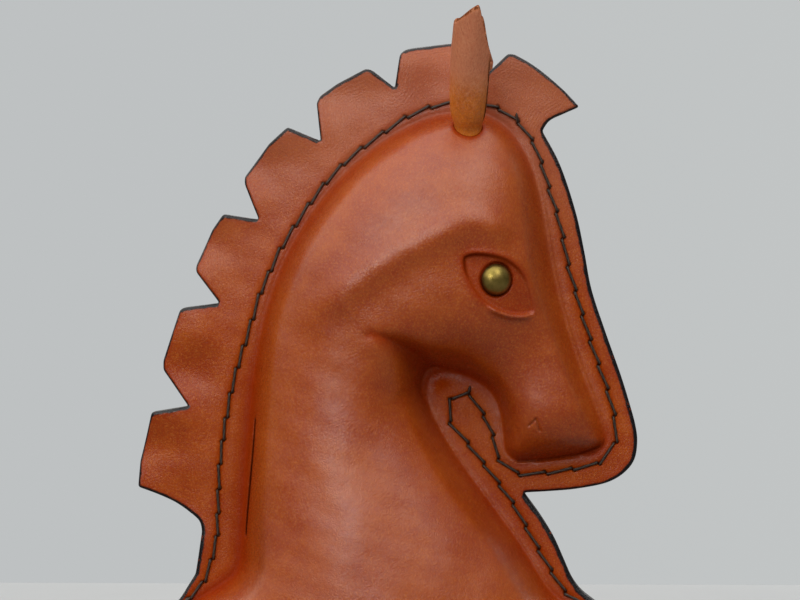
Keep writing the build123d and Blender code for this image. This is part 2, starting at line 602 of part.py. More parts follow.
# ---------------------------------------------------------------- threads
def polygon_face(points):
    return Face(Wire.make_polygon([tuple(map(float, p)) for p in points], close=True))


def tube(path):
    """Thread along a polyline, with flat sides, mitred at every corner."""
    points = [np.array(p, float) for p in path]
    runs = [(b - a) / np.linalg.norm(b - a) for a, b in zip(points[:-1], points[1:])]
    helper = np.array([0.0, 0.0, 1.0]) if abs(runs[0][2]) < 0.9 else np.array([1.0, 0.0, 0.0])
    across = np.cross(runs[0], helper)
    across /= np.linalg.norm(across)
    up = np.cross(runs[0], across)
    angles = [2 * math.pi * (k + 0.5) / THREAD_SIDES for k in range(THREAD_SIDES)]
    rings = [[points[0] + across * (THREAD_RADIUS * math.cos(a)) + up * (THREAD_RADIUS * math.sin(a))
              for a in angles]]
    for point, before, after in zip(points[1:-1], runs[:-1], runs[1:]):
        mitre = before + after
        mitre /= np.linalg.norm(mitre)
        rings.append([v - before * (np.dot(v - point, mitre) / np.dot(before, mitre))
                      for v in rings[-1]])
    rings.append([v + runs[-1] * float(np.dot(points[-1] - v, runs[-1])) for v in rings[-1]])
    faces = []
    for a, b in zip(rings[:-1], rings[1:]):
        for k in range(THREAD_SIDES):
            after_k = (k + 1) % THREAD_SIDES
            faces.append(polygon_face([a[k], a[after_k], b[after_k], b[k]]))
    faces += [polygon_face(rings[0][::-1]), polygon_face(rings[-1])]
    return Solid(Shell(faces))


def saddle_strand(strand, centres, slits, offsets, axis, levels, end_levels):
    """Strand 0 or 1 of a saddle stitch, changing faces through every slit.

    axis is the coordinate across the leather; levels are the strand's places on the two faces and
    end_levels those of its cut ends.
    """
    path = []
    last = len(centres) - 1
    for i, (centre, slit, offset) in enumerate(zip(centres, slits, offsets)):
        after = (i + strand) % 2
        before = 1 - after
        spot = centre + slit * offset * (1.0 if after else -1.0)
        path.append(np.insert(spot, axis, (end_levels if i == 0 else levels)[before]))
        path.append(np.insert(spot, axis, (end_levels if i == last else levels)[after]))
    return tube(path)


def seam_thread(strand):
    out = LEATHER + THREAD_RADIUS + THREAD_GAP
    end = LEATHER - SEAM_END_DEPTH
    offsets = [BEND_OFFSETS.get(i, STRAND_OFFSET) for i in range(len(seam_centres))]
    return saddle_strand(strand, seam_centres, seam_slits, offsets, axis=1,
                         levels=(-out, out), end_levels=(-end, end))


def sole_thread(strand):
    """Strand over the rim's top face and in the groove under the sole."""
    top = FOOT_TOP + THREAD_RADIUS + THREAD_GAP
    bottom = THREAD_RADIUS + THREAD_GAP
    return saddle_strand(strand, sole_centres, sole_slits, [STRAND_OFFSET] * SOLE_STITCHES, axis=2,
                         levels=(top, bottom), end_levels=(top - SOLE_END_DROP, SOLE_END_Z))


# ---------------------------------------------------------------- ears
def make_ear():
    """Rolled ear, hollow, open on its +X side."""
    curve = [Vector(radius, 0, z) for z, radius in EAR_PROFILE]
    bottom = Vector(0, 0, EAR_BOTTOM)
    root = Vector(EAR_ROOT_RADIUS, 0, EAR_BOTTOM)
    tip = Vector(0, 0, EAR_PROFILE[-1][0] + EAR_TIP_RISE)
    # the profile starts at the root's radius
    body = revolved([Edge.make_line(bottom, root), Edge.make_line(root, curve[0]),
                     Edge.make_spline(curve), Edge.make_line(curve[-1], tip),
                     Edge.make_line(tip, bottom)])
    inner = [Vector(radius, 0, z) for z, radius in EAR_HOLLOW]
    inner_top = Vector(0, 0, EAR_HOLLOW[-1][0])
    hollow = revolved([Edge.make_spline(inner), Edge.make_line(inner[-1], inner_top),
                       Edge.make_line(inner_top, inner[0])])
    slot_ring = [Vector(0, y, z) for z, y in EAR_SLOT] + [Vector(0, -y, z) for z, y in EAR_SLOT[:0:-1]]
    slot = Solid.extrude(Face(Wire(closed_lines(slot_ring))), Vector(EAR_SLOT_REACH, 0, 0))
    return one(one(body.cut(hollow)).cut(slot)).moved(ear_place)


def make_ear_keeper():
    """Ring round the ear's root, inside the shell."""
    hole = Solid.make_cylinder(EAR_ROOT_RADIUS + KEEPER_GAP, KEEPER_THICK)
    ring = one(Solid.make_cylinder(KEEPER_RADIUS, KEEPER_THICK).cut(hole))
    return ring.moved(Location((0, 0, KEEPER_BOTTOM))).moved(ear_place)


# ---------------------------------------------------------------- eyes
def make_eye_cap():
    """Domed rivet cap with a socket for its post."""
    rise = CAP_HEIGHT - CAP_RIM
    sphere = (CAP_RADIUS ** 2 + rise ** 2) / (2 * rise)
    half_angle = math.asin(CAP_RADIUS / sphere) / 2
    top_z = CAP_BOTTOM + CAP_HEIGHT
    top = Vector(0, 0, top_z)
    middle = Vector(sphere * math.sin(half_angle), 0, top_z - sphere * (1 - math.cos(half_angle)))
    foot = [Vector(0, 0, CAP_BOTTOM), Vector(CAP_RADIUS - CAP_CHAMFER, 0, CAP_BOTTOM),
            Vector(CAP_RADIUS, 0, CAP_BOTTOM + CAP_CHAMFER), Vector(CAP_RADIUS, 0, CAP_BOTTOM + CAP_RIM)]
    cap = revolved(lines(foot) + [Edge.make_three_point_arc(foot[-1], middle, top),
                                  Edge.make_line(top, foot[0])])
    socket = cylinder(POST_RADIUS + POST_SOCKET_GAP, *(CAP_BOTTOM + s for s in POST_SOCKET_SPAN))
    return one(cap.cut(socket)).moved(eye_place)


def make_eye_post():
    """Rivet base inside the shell with its post."""
    post_bottom = BASE_TOP - BASE_OVERLAP
    post_length = CAP_BOTTOM + POST_REACH - BASE_TOP
    post = one(Part() + [cylinder(BASE_RADIUS, BASE_TOP - BASE_THICK, BASE_TOP),
                         cylinder(POST_RADIUS, post_bottom, post_bottom + post_length)])
    return post.moved(eye_place)


# ---------------------------------------------------------------- write one STEP per piece
right_panel, left_panel = make_panels()
pieces = {
    "right_panel": right_panel,
    "left_panel": left_panel,
    "sole": make_sole(),
    "foot_board": make_foot_board(),
}
for strand, letter in enumerate("ab"):
    pieces[f"seam_thread_{letter}"] = seam_thread(strand)
    pieces[f"sole_thread_{letter}"] = sole_thread(strand)
mirrored = {"ear": make_ear, "ear_keeper": make_ear_keeper, "eye_cap": make_eye_cap,
            "eye_post": make_eye_post}
for name, make in mirrored.items():
    right = make()
    pieces[f"right_{name}"] = right
    pieces[f"left_{name}"] = right.mirror(Plane.XZ)

os.makedirs("parts", exist_ok=True)
for name, shape in pieces.items():
    export_step(shape, f"parts/{name}.step")
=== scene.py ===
"""Moulded leather pony head on an oval sole: two stitched panels, rolled ears and brass eye caps.

The nose points to +X, the mane to -X and the ears to +Z. The right side of the head faces -Y and
the panels meet at y = 0; the sole stands on z = 0. Shapes are worked out in millimetres and
turned into metres when a mesh is written.
"""
import math

import bmesh
import bpy
import numpy as np
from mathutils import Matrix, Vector
from mathutils.geometry import delaunay_2d_cdt


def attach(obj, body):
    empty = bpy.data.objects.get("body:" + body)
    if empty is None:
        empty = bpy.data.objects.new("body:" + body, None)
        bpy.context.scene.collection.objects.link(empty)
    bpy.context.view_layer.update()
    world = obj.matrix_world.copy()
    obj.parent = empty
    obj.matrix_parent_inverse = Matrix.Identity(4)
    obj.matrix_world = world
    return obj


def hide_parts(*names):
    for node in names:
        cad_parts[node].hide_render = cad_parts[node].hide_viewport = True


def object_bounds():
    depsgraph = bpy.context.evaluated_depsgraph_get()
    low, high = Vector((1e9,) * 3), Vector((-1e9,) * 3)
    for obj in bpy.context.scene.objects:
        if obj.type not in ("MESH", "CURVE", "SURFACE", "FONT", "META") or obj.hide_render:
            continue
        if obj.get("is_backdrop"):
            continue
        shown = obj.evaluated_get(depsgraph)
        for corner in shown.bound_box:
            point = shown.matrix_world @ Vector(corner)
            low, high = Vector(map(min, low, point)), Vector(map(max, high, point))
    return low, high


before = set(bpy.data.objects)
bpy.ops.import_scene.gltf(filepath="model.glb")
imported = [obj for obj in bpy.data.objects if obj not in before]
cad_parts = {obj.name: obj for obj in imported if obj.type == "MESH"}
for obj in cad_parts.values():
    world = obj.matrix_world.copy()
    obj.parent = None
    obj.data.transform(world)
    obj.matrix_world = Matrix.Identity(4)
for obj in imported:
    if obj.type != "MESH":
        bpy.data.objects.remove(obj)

bounds_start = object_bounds()
scene = bpy.context.scene
rng = np.random.default_rng(7)

# ---------------------------------------------------------------- sizes
LEATHER = 3.0               # thickness of one panel
SOLE_T = 4.0
RIM_T = 3.0                 # turned-out foot of the panels
RIM_AX, RIM_AY = 69.5, 48.7  # half axes of the oval foot
EDGE_R = 1.15               # rounding of the cut edge

THREAD_R = 0.42
BEND_R = 0.42               # rounding of the cord where it turns into a hole
CORD_SIDES, CORD_STEP, CORD_LAY = 9, 0.36, 3.2
SEAM_ANGLE, SEAM_OFFSET = -50.0, 0.52   # lean of the slits; strand's shift along its slit
SOLE_ANGLE, SOLE_OFFSET = 65.0, 0.70
SOLE_STITCHES = 46
SOLE_STITCH_INSET = 3.0

EYE_R = 4.7
EYE_H = 3.3
EYE_SEAT = 0.55
EYE_CENTRE = (32.7, 111.45)
EAR_ROOT = (24.1, 157.1)            # X, Z where the ear's axis meets the moulded surface
EAR_AXIS = (0.05, -0.38, 0.924)     # right ear, upwards and slightly outwards
EAR_LOW, EAR_HIGH = -12.7, 39.5     # ends of the ear's radius table along its axis

# ---------------------------------------------------------------- outlines, all in X, Z
# edge of the moulded (raised) area; it runs straight down through the foot
MOULDING = [
    (-62.2, -9), (-62.2, -3), (-62.2, 1.5), (-62.0, 5.4), (-61.2, 8.7), (-59.3, 11.9),
    (-56.4, 14.6), (-52.6, 17.0), (-48.75, 19.6), (-45.45, 22.6), (-43.65, 26.4), (-43.05, 31.5),
    (-42.45, 45.0), (-41.55, 60.0), (-40.5, 70.5), (-39.15, 84.0), (-37.2, 96.0), (-34.4, 106.5),
    (-30.4, 117.2), (-25.6, 126.0), (-19.6, 134.9), (-12.3, 143.1), (-4.3, 150.0), (4.0, 155.4),
    (12.6, 159.2), (21.4, 160.7), (28.8, 160.1), (34.7, 156.7), (39.3, 151.2), (42.75, 144.0),
    (45.15, 135.0), (46.95, 124.5), (48.75, 114.0), (51.15, 103.5), (54.15, 93.0), (57.45, 83.4),
    (61.05, 74.4), (63.75, 66.6), (64.35, 62.7), (61.65, 60.0), (52.95, 58.8), (43.95, 57.9),
    (38.25, 57.6), (35.55, 60.0), (34.65, 66.0), (33.45, 73.5), (31.05, 78.0), (26.85, 81.3),
    (21.45, 83.6), (15.75, 84.2), (12.15, 82.5), (10.8, 78.6), (12.2, 72.5), (17.55, 62.3),
    (23.85, 52.9), (31.05, 43.2), (37.95, 33.7), (43.4, 25.2), (46.9, 19.4), (50.2, 15.6),
    (54.4, 12.4), (58.3, 9.6), (61.0, 6.0), (62.2, 1.5), (62.2, -3), (62.2, -9)]

# cut edge of the flat flange with its mane: straight runs (L) and smooth runs (S)
OUTLINE = [
    ("L", [(-60.6, 4.0), (-60.6, 8.8), (-68.9, 8.8)]),
    ("S", [(-68.9, 8.8), (-66.6, 11.9), (-62.9, 15.0), (-60.15, 19.2), (-57.9, 22.8)]),
    ("S", [(-57.9, 22.8), (-56.85, 29.4), (-55.95, 35.7)]),
    ("S", [(-55.95, 35.7), (-56.7, 38.55), (-59.85, 41.4), (-64.05, 44.25), (-68.85, 46.5),
           (-75.15, 48.9)]),
    ("L", [(-75.15, 48.9), (-74.55, 56.7), (-70.95, 71.4), (-60.0, 73.2), (-67.65, 84.0),
           (-67.65, 86.7), (-62.55, 102.0), (-61.35, 102.75), (-50.7, 104.1), (-57.75, 113.4),
           (-57.75, 115.2), (-52.95, 126.0), (-49.5, 130.8), (-38.85, 129.15), (-43.2, 139.8),
           (-43.2, 141.9), (-35.85, 151.8), (-30.15, 156.9), (-20.25, 152.7), (-21.6, 164.1),
           (-20.55, 166.2), (-15.45, 169.8), (-6.75, 174.3), (-4.95, 174.0), (1.95, 168.6),
           (3.45, 178.5)]),
    ("S", [(3.45, 178.5), (4.95, 179.85), (11.85, 181.05), (19.95, 181.95), (25.05, 181.95)]),
    ("L", [(25.05, 181.95), (28.65, 171.9), (35.85, 178.8), (37.8, 178.65)]),
    ("S", [(37.8, 178.65), (43.65, 175.2), (52.35, 168.0), (57.15, 162.9)]),
    ("S", [(57.15, 162.9), (52.35, 160.8), (48.15, 158.7), (46.05, 155.7)]),
    ("S", [(46.05, 155.7), (51.15, 146.1), (56.25, 130.8), (58.65, 119.7), (60.75, 108.6),
           (64.95, 95.7), (69.75, 82.2), (72.15, 74.4), (73.95, 67.8), (74.55, 63.0),
           (73.65, 57.3), (70.95, 53.7), (66.15, 50.7), (56.55, 48.6), (48.45, 47.85),
           (40.65, 47.4)]),
    ("S", [(40.65, 47.4), (45.45, 40.8), (49.65, 33.9), (52.35, 27.9), (55.05, 21.9),
           (57.45, 18.6), (61.05, 15.6), (65.25, 12.6), (68.3, 8.8)]),
    ("L", [(68.3, 8.8), (59.6, 8.8), (59.6, 4.0), (-60.6, 4.0)]),
]

# centres of the awl slits of the seam, in sewing order
SLITS = [
    (-64.4, 11.5), (-59.8, 15.4), (-55.4, 20.4), (-52.9, 27.2), (-51.4, 34.2), (-51.09, 40.89),
    (-50.94, 48.15), (-50.55, 55.62), (-49.65, 62.85), (-48.63, 69.6), (-47.22, 77.13),
    (-45.27, 84.63), (-43.2, 91.35), (-40.77, 99.09), (-38.43, 106.83), (-35.46, 113.55),
    (-32.1, 120.54), (-28.1, 127.1), (-23.5, 133.9), (-19.0, 139.9), (-13.7, 145.5),
    (-7.6, 150.7), (-1.2, 155.3), (5.46, 159.8), (12.51, 162.7), (19.4, 164.1), (26.3, 164.1),
    (33.0, 162.3), (38.9, 158.3), (43.11, 152.6), (45.9, 145.8), (48.1, 138.4), (50.4, 131.22),
    (52.3, 123.45), (53.85, 115.3), (56.04, 107.7), (58.17, 100.5), (60.51, 92.94),
    (62.97, 85.65), (65.6, 78.21), (67.7, 70.44), (68.0, 62.4), (62.9, 56.2), (55.2, 54.5),
    (47.22, 53.4), (39.1, 53.0), (33.0, 57.5), (31.4, 64.3), (28.6, 70.6), (24.2, 76.9),
    (18.85, 75.45), (18.5, 68.45), (24.0, 62.0), (28.71, 55.92), (33.33, 49.92), (37.5, 44.01),
    (41.3, 37.3), (45.1, 30.4), (48.9, 23.8), (53.0, 17.6), (58.6, 13.9), (64.2, 11.3)]

JAW_CREASE = [(-4.0, 95.4), (-1.0, 94.6), (2.5, 92.9), (6.0, 90.6), (9.5, 87.8), (12.4, 85.0),
              (14.2, 82.4)]
BROW = [(-27, 95), (-19, 102.5), (-11.5, 109.0), (-2, 115.5), (8, 121.2), (16, 125.0),
        (23, 128.0), (31, 127.4), (38.5, 123.5)]
NOSE_RIDGE = [(37, 122.5), (42, 117.5), (45.3, 108.5), (48.6, 98.5), (52.0, 89.0), (55.5, 81.0),
              (58.5, 74.5)]
EYE_SOCKET = [
    (23.25, 117.9), (25.05, 118.86), (27.75, 119.04), (31.95, 118.5), (35.55, 117.36),
    (38.85, 114.9), (41.13, 111.75), (42.45, 108.3), (42.99, 105.6), (43.35, 101.7),
    (40.65, 100.8), (37.17, 101.1), (33.75, 102.15), (30.27, 104.1), (27.36, 106.65),
    (25.11, 110.1), (23.4, 114.3)]
NECK_SLIT = [(-39.57, 70.95), (-39.87, 66.0), (-40.47, 58.5), (-41.25, 50.4), (-41.85, 43.5),
             (-42.39, 37.5), (-42.6, 33.0)]
MOUTH = [(39.0, 56.9), (44.0, 57.0), (50.5, 57.9), (57.0, 59.0), (62.8, 61.2)]
NOSTRIL = [(42.4, 68.1), (44.3, 70.0), (45.4, 66.6)]
MUZZLE_MARK = [(54.75, 68.1), (54.75, 64.8)]
LOWER_LID = [(29.6, 103.9), (33.5, 101.7), (38.0, 100.5), (43.2, 100.6)]
UPPER_LID = [(23.0, 118.1), (26.0, 119.4), (31.5, 119.0), (36.0, 117.8), (39.4, 115.2),
             (41.8, 111.9), (43.2, 107.5)]


# ---------------------------------------------------------------- plane curve helpers
def between(a, b, t_a, t_b, t):
    return (t_b - t) / (t_b - t_a) * a + (t - t_a) / (t_b - t_a) * b


def spline(points, step=0.6, closed=False):
    """Centripetal Catmull-Rom curve through the points, sampled about every step."""
    knots = np.array(points, float)
    if closed:
        padded = np.vstack([knots[-1:], knots, knots[:2]])
    else:
        padded = np.vstack([2 * knots[0] - knots[1], knots, 2 * knots[-1] - knots[-2]])
    curve = []
    for i in range(len(padded) - 3):
        p0, p1, p2, p3 = padded[i:i + 4]
        pieces = max(1, int(math.ceil(np.hypot(*(p2 - p1)) / step)))
        t1 = max(1e-6, np.hypot(*(p1 - p0))) ** 0.5
        t2 = t1 + max(1e-6, np.hypot(*(p2 - p1))) ** 0.5
        t3 = t2 + max(1e-6, np.hypot(*(p3 - p2))) ** 0.5
        for k in range(pieces):
            t = t1 + (t2 - t1) * k / pieces
            middle = between(p1, p2, t1, t2, t)
            first = between(between(p0, p1, 0, t1, t), middle, 0, t2, t)
            last = between(middle, between(p2, p3, t2, t3, t), t1, t3, t)
            curve.append(between(first, last, t1, t2, t))
    if not closed:
        curve.append(knots[-1])
    return np.array(curve)


def nearest(x, z, line, closed=False, chunk=4000):
    """Distance to a line, side of it (+1 on its left), share of its length, and inside or not."""
    line = np.asarray(line, float)
    starts = line if closed else line[:-1]
    ends = np.roll(line, -1, axis=0) if closed else line[1:]
    run = ends - starts
    square = (run ** 2).sum(1) + 1e-12
    length = np.sqrt(square)
    travelled = np.concatenate([[0], np.cumsum(length)])
    all_x, all_z = x.ravel(), z.ravel()
    count = len(all_x)
    dist, side, along = np.empty(count), np.empty(count), np.empty(count)
    inside = np.zeros(count, bool)
    for i in range(0, count, chunk):
        part = slice(i, i + chunk)
        px, pz = all_x[part, None], all_z[part, None]
        rx, rz = px - starts[:, 0], pz - starts[:, 1]
        t = np.clip((rx * run[:, 0] + rz * run[:, 1]) / square, 0, 1)
        squares = (rx - t * run[:, 0]) ** 2 + (rz - t * run[:, 1]) ** 2
        k = squares.argmin(1)
        row = np.arange(len(k))
        dist[part] = np.sqrt(squares[row, k])
        side[part] = np.sign(run[k, 0] * rz[row, k] - run[k, 1] * rx[row, k])
        along[part] = (travelled[k] + t[row, k] * length[k]) / travelled[-1]
        if closed:
            spans = (starts[:, 1] > pz) != (ends[:, 1] > pz)
            with np.errstate(divide="ignore", invalid="ignore"):
                cross_x = (starts[:, 0] + (pz - starts[:, 1]) / (ends[:, 1] - starts[:, 1])
                           * run[:, 0])
            inside[part] = (np.sum(spans & (px < cross_x), axis=1) % 2) == 1
    return [values.reshape(x.shape) for values in (dist, side, along, inside)]


def distance(x, z, line, closed=False):
    return nearest(x, z, line, closed)[0]


def inset_from(x, z, loop):
    """Distance inside a closed loop, negative outside it."""
    dist, _, _, inside = nearest(x, z, loop, True)
    return np.where(inside, dist, -dist)


def smooth(a, b, x):
    """Smooth step from 0 at a to 1 at b; a may be the larger."""
    t = np.clip((x - a) / (b - a), 0, 1)
    return t * t * (3 - 2 * t)


def soft_min(a, b, k):
    share = np.clip(0.5 + 0.5 * (b - a) / k, 0, 1)
    return b + (a - b) * share - k * share * (1 - share)


def soft_max(a, b, k):
    return -soft_min(-a, -b, k)


def bell(dist, width):
    return np.exp(-(dist / width) ** 2)


def soft_noise(x, z, seed, wave):
    """Smooth seeded noise, about -1 to 1, built from a few plane waves."""
    draw = np.random.default_rng(seed)
    total = np.zeros_like(x)
    for _ in range(7):
        angle, phase = draw.uniform(0, 2 * math.pi), draw.uniform(0, 2 * math.pi)
        rate = 2 * math.pi / (wave * draw.uniform(0.7, 1.5))
        total = total + np.sin((x * math.cos(angle) + z * math.sin(angle)) * rate + phase)
    return total / 3.2


def travelled_length(points):
    steps = np.linalg.norm(np.diff(points, axis=0), axis=1)
    return np.concatenate([[0], np.cumsum(steps)])


def points_at(s, lengths, points):
    return np.stack([np.interp(s, lengths, column) for column in points.T], 1)


def turned(directions, degrees):
    """Plane directions turned anticlockwise."""
    cos, sin = np.cos(np.radians(degrees)), np.sin(np.radians(degrees))
    a, b = directions.T
    return np.stack([a * cos - b * sin, a * sin + b * cos], 1)


# ---------------------------------------------------------------- the moulded surface
# A membrane blown up over the outline gives the round body of the neck and head (the level u of
# a Poisson problem, height ~ sqrt(2u)); ridges, the jaw crease and the eye socket are added.
GRID_X0, GRID_X1, GRID_Z0, GRID_Z1, CELL = -80.0, 80.0, -8.0, 172.0, 1.0
HELD_BELOW = -3             # the level is held constant below this z
moulding_line = spline(MOULDING, closed=True)
brow_line = spline(BROW, 1.2)
nose_line = spline(NOSE_RIDGE, 1.2)
crease_coarse, crease_line = spline(JAW_CREASE, 1.2), spline(JAW_CREASE)
socket_coarse, socket_line = spline(EYE_SOCKET, 1.0, True), spline(EYE_SOCKET, closed=True)


def neighbour_sum(grid):
    return grid[2:, 1:-1] + grid[:-2, 1:-1] + grid[1:-1, 2:] + grid[1:-1, :-2]


def solve_membrane():
    """Level of the membrane, and level over inset for use next to the outline."""
    x, z = np.meshgrid(np.arange(GRID_X0, GRID_X1 + 0.5 * CELL, CELL),
                       np.arange(GRID_Z0, GRID_Z1 + 0.5 * CELL, CELL), indexing="ij")
    dist, _, _, inside = nearest(x, z, moulding_line, True)
    level = np.where(inside, dist * 20, 0.0)
    i, j = np.indices(level.shape)
    checkers = [((i + j) % 2 == parity) & inside for parity in (0, 1)]
    held = int(round((HELD_BELOW - GRID_Z0) / CELL))
    for _ in range(700):
        for mask in checkers:
            target = np.zeros_like(level)
            target[1:-1, 1:-1] = 0.25 * neighbour_sum(level) + 0.25 * CELL * CELL
            level = np.where(mask, level + 1.94 * (target - level), level)
        level[:, :held] = level[:, held:held + 1]
    slope = np.zeros_like(level)
    known = inside & (dist > 1.6)
    slope[known] = level[known] / dist[known]
    for _ in range(40):             # spread the known slopes outwards
        total, count = np.zeros_like(slope), np.zeros_like(slope)
        for dx in (-1, 0, 1):
            for dz in (-1, 0, 1):
                if dx or dz:
                    total += np.roll(np.roll(np.where(known, slope, 0), dx, 0), dz, 1)
                    count += np.roll(np.roll(known, dx, 0), dz, 1)
        new = (~known) & (count > 0)
        slope[new] = total[new] / count[new]
        known |= new
    for _ in range(2):
        slope[1:-1, 1:-1] = 0.5 * slope[1:-1, 1:-1] + 0.125 * neighbour_sum(slope)
    return level, slope


level_grid, slope_grid = solve_membrane()


def bicubic(grid, x, z):
    fx, fz = (x - GRID_X0) / CELL, (z - GRID_Z0) / CELL
    ix = np.clip(np.floor(fx).astype(int), 1, grid.shape[0] - 3)
    iz = np.clip(np.floor(fz).astype(int), 1, grid.shape[1] - 3)

    def weights(t):
        t = np.clip(t, -0.5, 1.5)
        return [(-t + 2 * t * t - t ** 3) / 2, (2 - 5 * t * t + 3 * t ** 3) / 2,
                (t + 4 * t * t - 3 * t ** 3) / 2, (-t * t + t ** 3) / 2]

    wx, wz, total = weights(fx - ix), weights(fz - iz), 0
    for a in range(4):
        for b in range(4):
            total = total + wx[a] * wz[b] * grid[ix + a - 1, iz + b - 1]
    return total


def moulded_height(x, z):
    """Height of the moulded surface over the flange face; negative outside the moulding."""
    inset = inset_from(x, z, moulding_line)
    low_z = np.maximum(z, -2.5)
    slope, level = bicubic(slope_grid, x, low_z), bicubic(level_grid, x, low_z)
    deep = smooth(2.5, 6.0, inset)
    blown = np.sqrt(2 * np.maximum(slope * np.maximum(inset, 0) * (1 - deep) + level * deep, 0))
    # the head is fuller than the neck, but flatter on top
    head = smooth(-18, 12, x * 0.62 + (z - 92) * 0.78)
    height = (0.84 + 0.08 * head) * blown
    excess = np.maximum(height - 21, 0)
    height = height - 0.9 * excess ** 2 / (12 + excess) * 0.55 * head
    # muzzle and spreading foot
    height = height + bell(np.hypot((x - 50) * 0.9, z - 66), 14) * 2.4 * smooth(0, 6, inset)
    height = height + 5.5 * np.clip((14 - z) / 10, 0, 1) ** 1.6 * smooth(0, 8, inset)
    # brow and nose ridges
    dist, _, along, _ = nearest(x, z, brow_line)
    height = height + (1.5 * bell(dist, 5.0) * smooth(0.0, 0.25, along)
                       * (1 - 0.5 * smooth(0.9, 1.0, along)) * smooth(2, 9, inset))
    dist, _, along, _ = nearest(x, z, nose_line)
    height = height + 1.1 * bell(dist, 3.4) * smooth(0, 0.15, along) * smooth(1.0, 4, inset)
    # hollow below the eye, jaw crease and hollow below it
    height = height - 1.6 * bell(np.hypot((x - 40) * 0.9, (z - 93) * 0.55), 8)
    dist, side, along, _ = nearest(x, z, crease_coarse)
    width = np.where(side > 0, 1.6 + 2.2 * along, 2.2 + 5.5 * along)
    height = height - (0.5 + 10.5 * smooth(0.05, 1.0, along)) * bell(dist, width)
    height = height - 2.0 * bell(np.hypot((x - 9) * 0.8, (z - 74) * 0.5), 9)
    # steep wall along the outline, then the eye socket
    wall = 3.0 * inset
    walled = np.where(inset > 0, soft_min(np.maximum(height, 0.0), wall, 2.5), wall)
    socket = inset_from(x, z, socket_coarse)
    return walled - (1.3 * smooth(-0.6, 1.0, socket) + 0.4 * smooth(1.0, 4.5, socket))


def axis_frame(point, axis):
    """Point, two cross directions and axis; the first cross direction is nearest to X."""
    across = np.array([1.0, 0.0, 0.0])
    across -= axis * float(np.dot(across, axis))
    across /= np.linalg.norm(across)
    return point, across, np.cross(axis, across), axis


def surface_point(x, z):
    height = float(moulded_height(np.array([x]), np.array([z]))[0])
    return np.array([x, -(LEATHER + height), z])


def surface_normal(x, z, reach):
    """Outward normal of the moulded face of the -Y panel."""
    slope_x = (surface_point(x - reach, z) - surface_point(x + reach, z))[1] / (2 * reach)
    slope_z = (surface_point(x, z - reach) - surface_point(x, z + reach))[1] / (2 * reach)
    normal = np.array([-slope_x, -1.0, -slope_z])
    return normal / np.linalg.norm(normal)


eye_frame = axis_frame(surface_point(*EYE_CENTRE), surface_normal(*EYE_CENTRE, reach=2.0))
ear_frame = axis_frame(surface_point(*EAR_ROOT), np.array(EAR_AXIS) / np.linalg.norm(EAR_AXIS))


# ---------------------------------------------------------------- cut edge and stitch places
def outline_points(spacing=0.5):
    """Closed outline, evenly spaced, corners barely rounded, anticlockwise in X, Z."""
    dense = []
    for kind, points in OUTLINE:
        if kind == "S":
            run = spline(points, spacing)
        else:
            points = np.array(points, float)
            run = [points[0]]
            for p, q in zip(points[:-1], points[1:]):
                pieces = max(1, int(math.ceil(np.hypot(*(q - p)) / spacing)))
                run += [p + (q - p) * k / pieces for k in range(1, pieces + 1)]
        dense += list(run[:-1])
    closed = np.array(dense + dense[:1])
    lengths = travelled_length(closed)
    count = int(lengths[-1] / spacing)
    loop = points_at(np.arange(count) / count * lengths[-1], lengths, closed)
    for _ in range(2):
        loop = 0.5 * loop + 0.25 * (np.roll(loop, 1, 0) + np.roll(loop, -1, 0))
    return loop[::-1].copy()


def outward_normals(loop):
    tangent = np.roll(loop, -1, 0) - np.roll(loop, 1, 0)
    tangent /= np.linalg.norm(tangent, axis=1, keepdims=True) + 1e-12
    return np.stack([tangent[:, 1], -tangent[:, 0]], 1)


def seam_slits():
    """Centre and direction of every slit of the seam."""
    points = np.array(SLITS, float)
    step = points[1:] - points[:-1]
    step /= np.linalg.norm(step, axis=1, keepdims=True)
    tangent = np.vstack([step[:1], step[1:] + step[:-1], step[-1:]])
    tangent /= np.linalg.norm(tangent, axis=1, keepdims=True)
    return points, turned(tangent, SEAM_ANGLE)


def sole_slits():
    """The same in X, Y for the stitches around the foot."""
    t = np.linspace(0, 2 * math.pi, 4001)
    oval = np.stack([(RIM_AX - SOLE_STITCH_INSET) * np.cos(t),
                     (RIM_AY - SOLE_STITCH_INSET) * np.sin(t)], 1)
    lengths = travelled_length(oval)
    s = (np.arange(SOLE_STITCHES) + 0.5) / SOLE_STITCHES * lengths[-1]
    tangent = points_at(s + 0.5, lengths, oval) - points_at(s - 0.5, lengths, oval)
    tangent /= np.linalg.norm(tangent, axis=1, keepdims=True)
    return points_at(s, lengths, oval), turned(tangent, SOLE_ANGLE)


outline = outline_points()
outline_out = outward_normals(outline)
seam_at, seam_dir = seam_slits()
sole_at, sole_dir = sole_slits()


# ---------------------------------------------------------------- outer face in detail
class Face:
    """Outer face of the -Y panel at the points (x, z): height over y = -LEATHER, and painted
    shade.
    """

    def __init__(self, x, z):
        self.x, self.z = x, z
        self.edge = distance(x, z, outline, True)
        self.inset = inset_from(x, z, moulding_line)
        self.muzzle = smooth(40, 50, x) * smooth(62, 76, z)
        for shape_step in (mould, stitch_channel, tooled_lines, ridges, eyelids, eye_seat,
                           ear_ring, neck_slit, jaw_red_shade, cut_edge):
            shape_step(self)
        self.painted_shade = np.clip(self.painted_shade, 0, 1)
        self.red = np.clip(self.red, 0, 1)

    # near-black painted shade in creases, holes and gaps
    def paint_shade(self, amount):
        self.painted_shade = np.maximum(self.painted_shade, amount)

    # reddish painted shade in grooves and folds
    def paint_red_shade(self, amount):
        self.red = np.maximum(self.red, amount)

    def radius(self, axis):
        """Distance from the axis of an axis frame."""
        point, across, up, _ = axis
        rel = np.stack([self.x - point[0], -(LEATHER + self.height) - point[1],
                        self.z - point[2]], -1)
        return np.hypot(rel @ across, rel @ up)


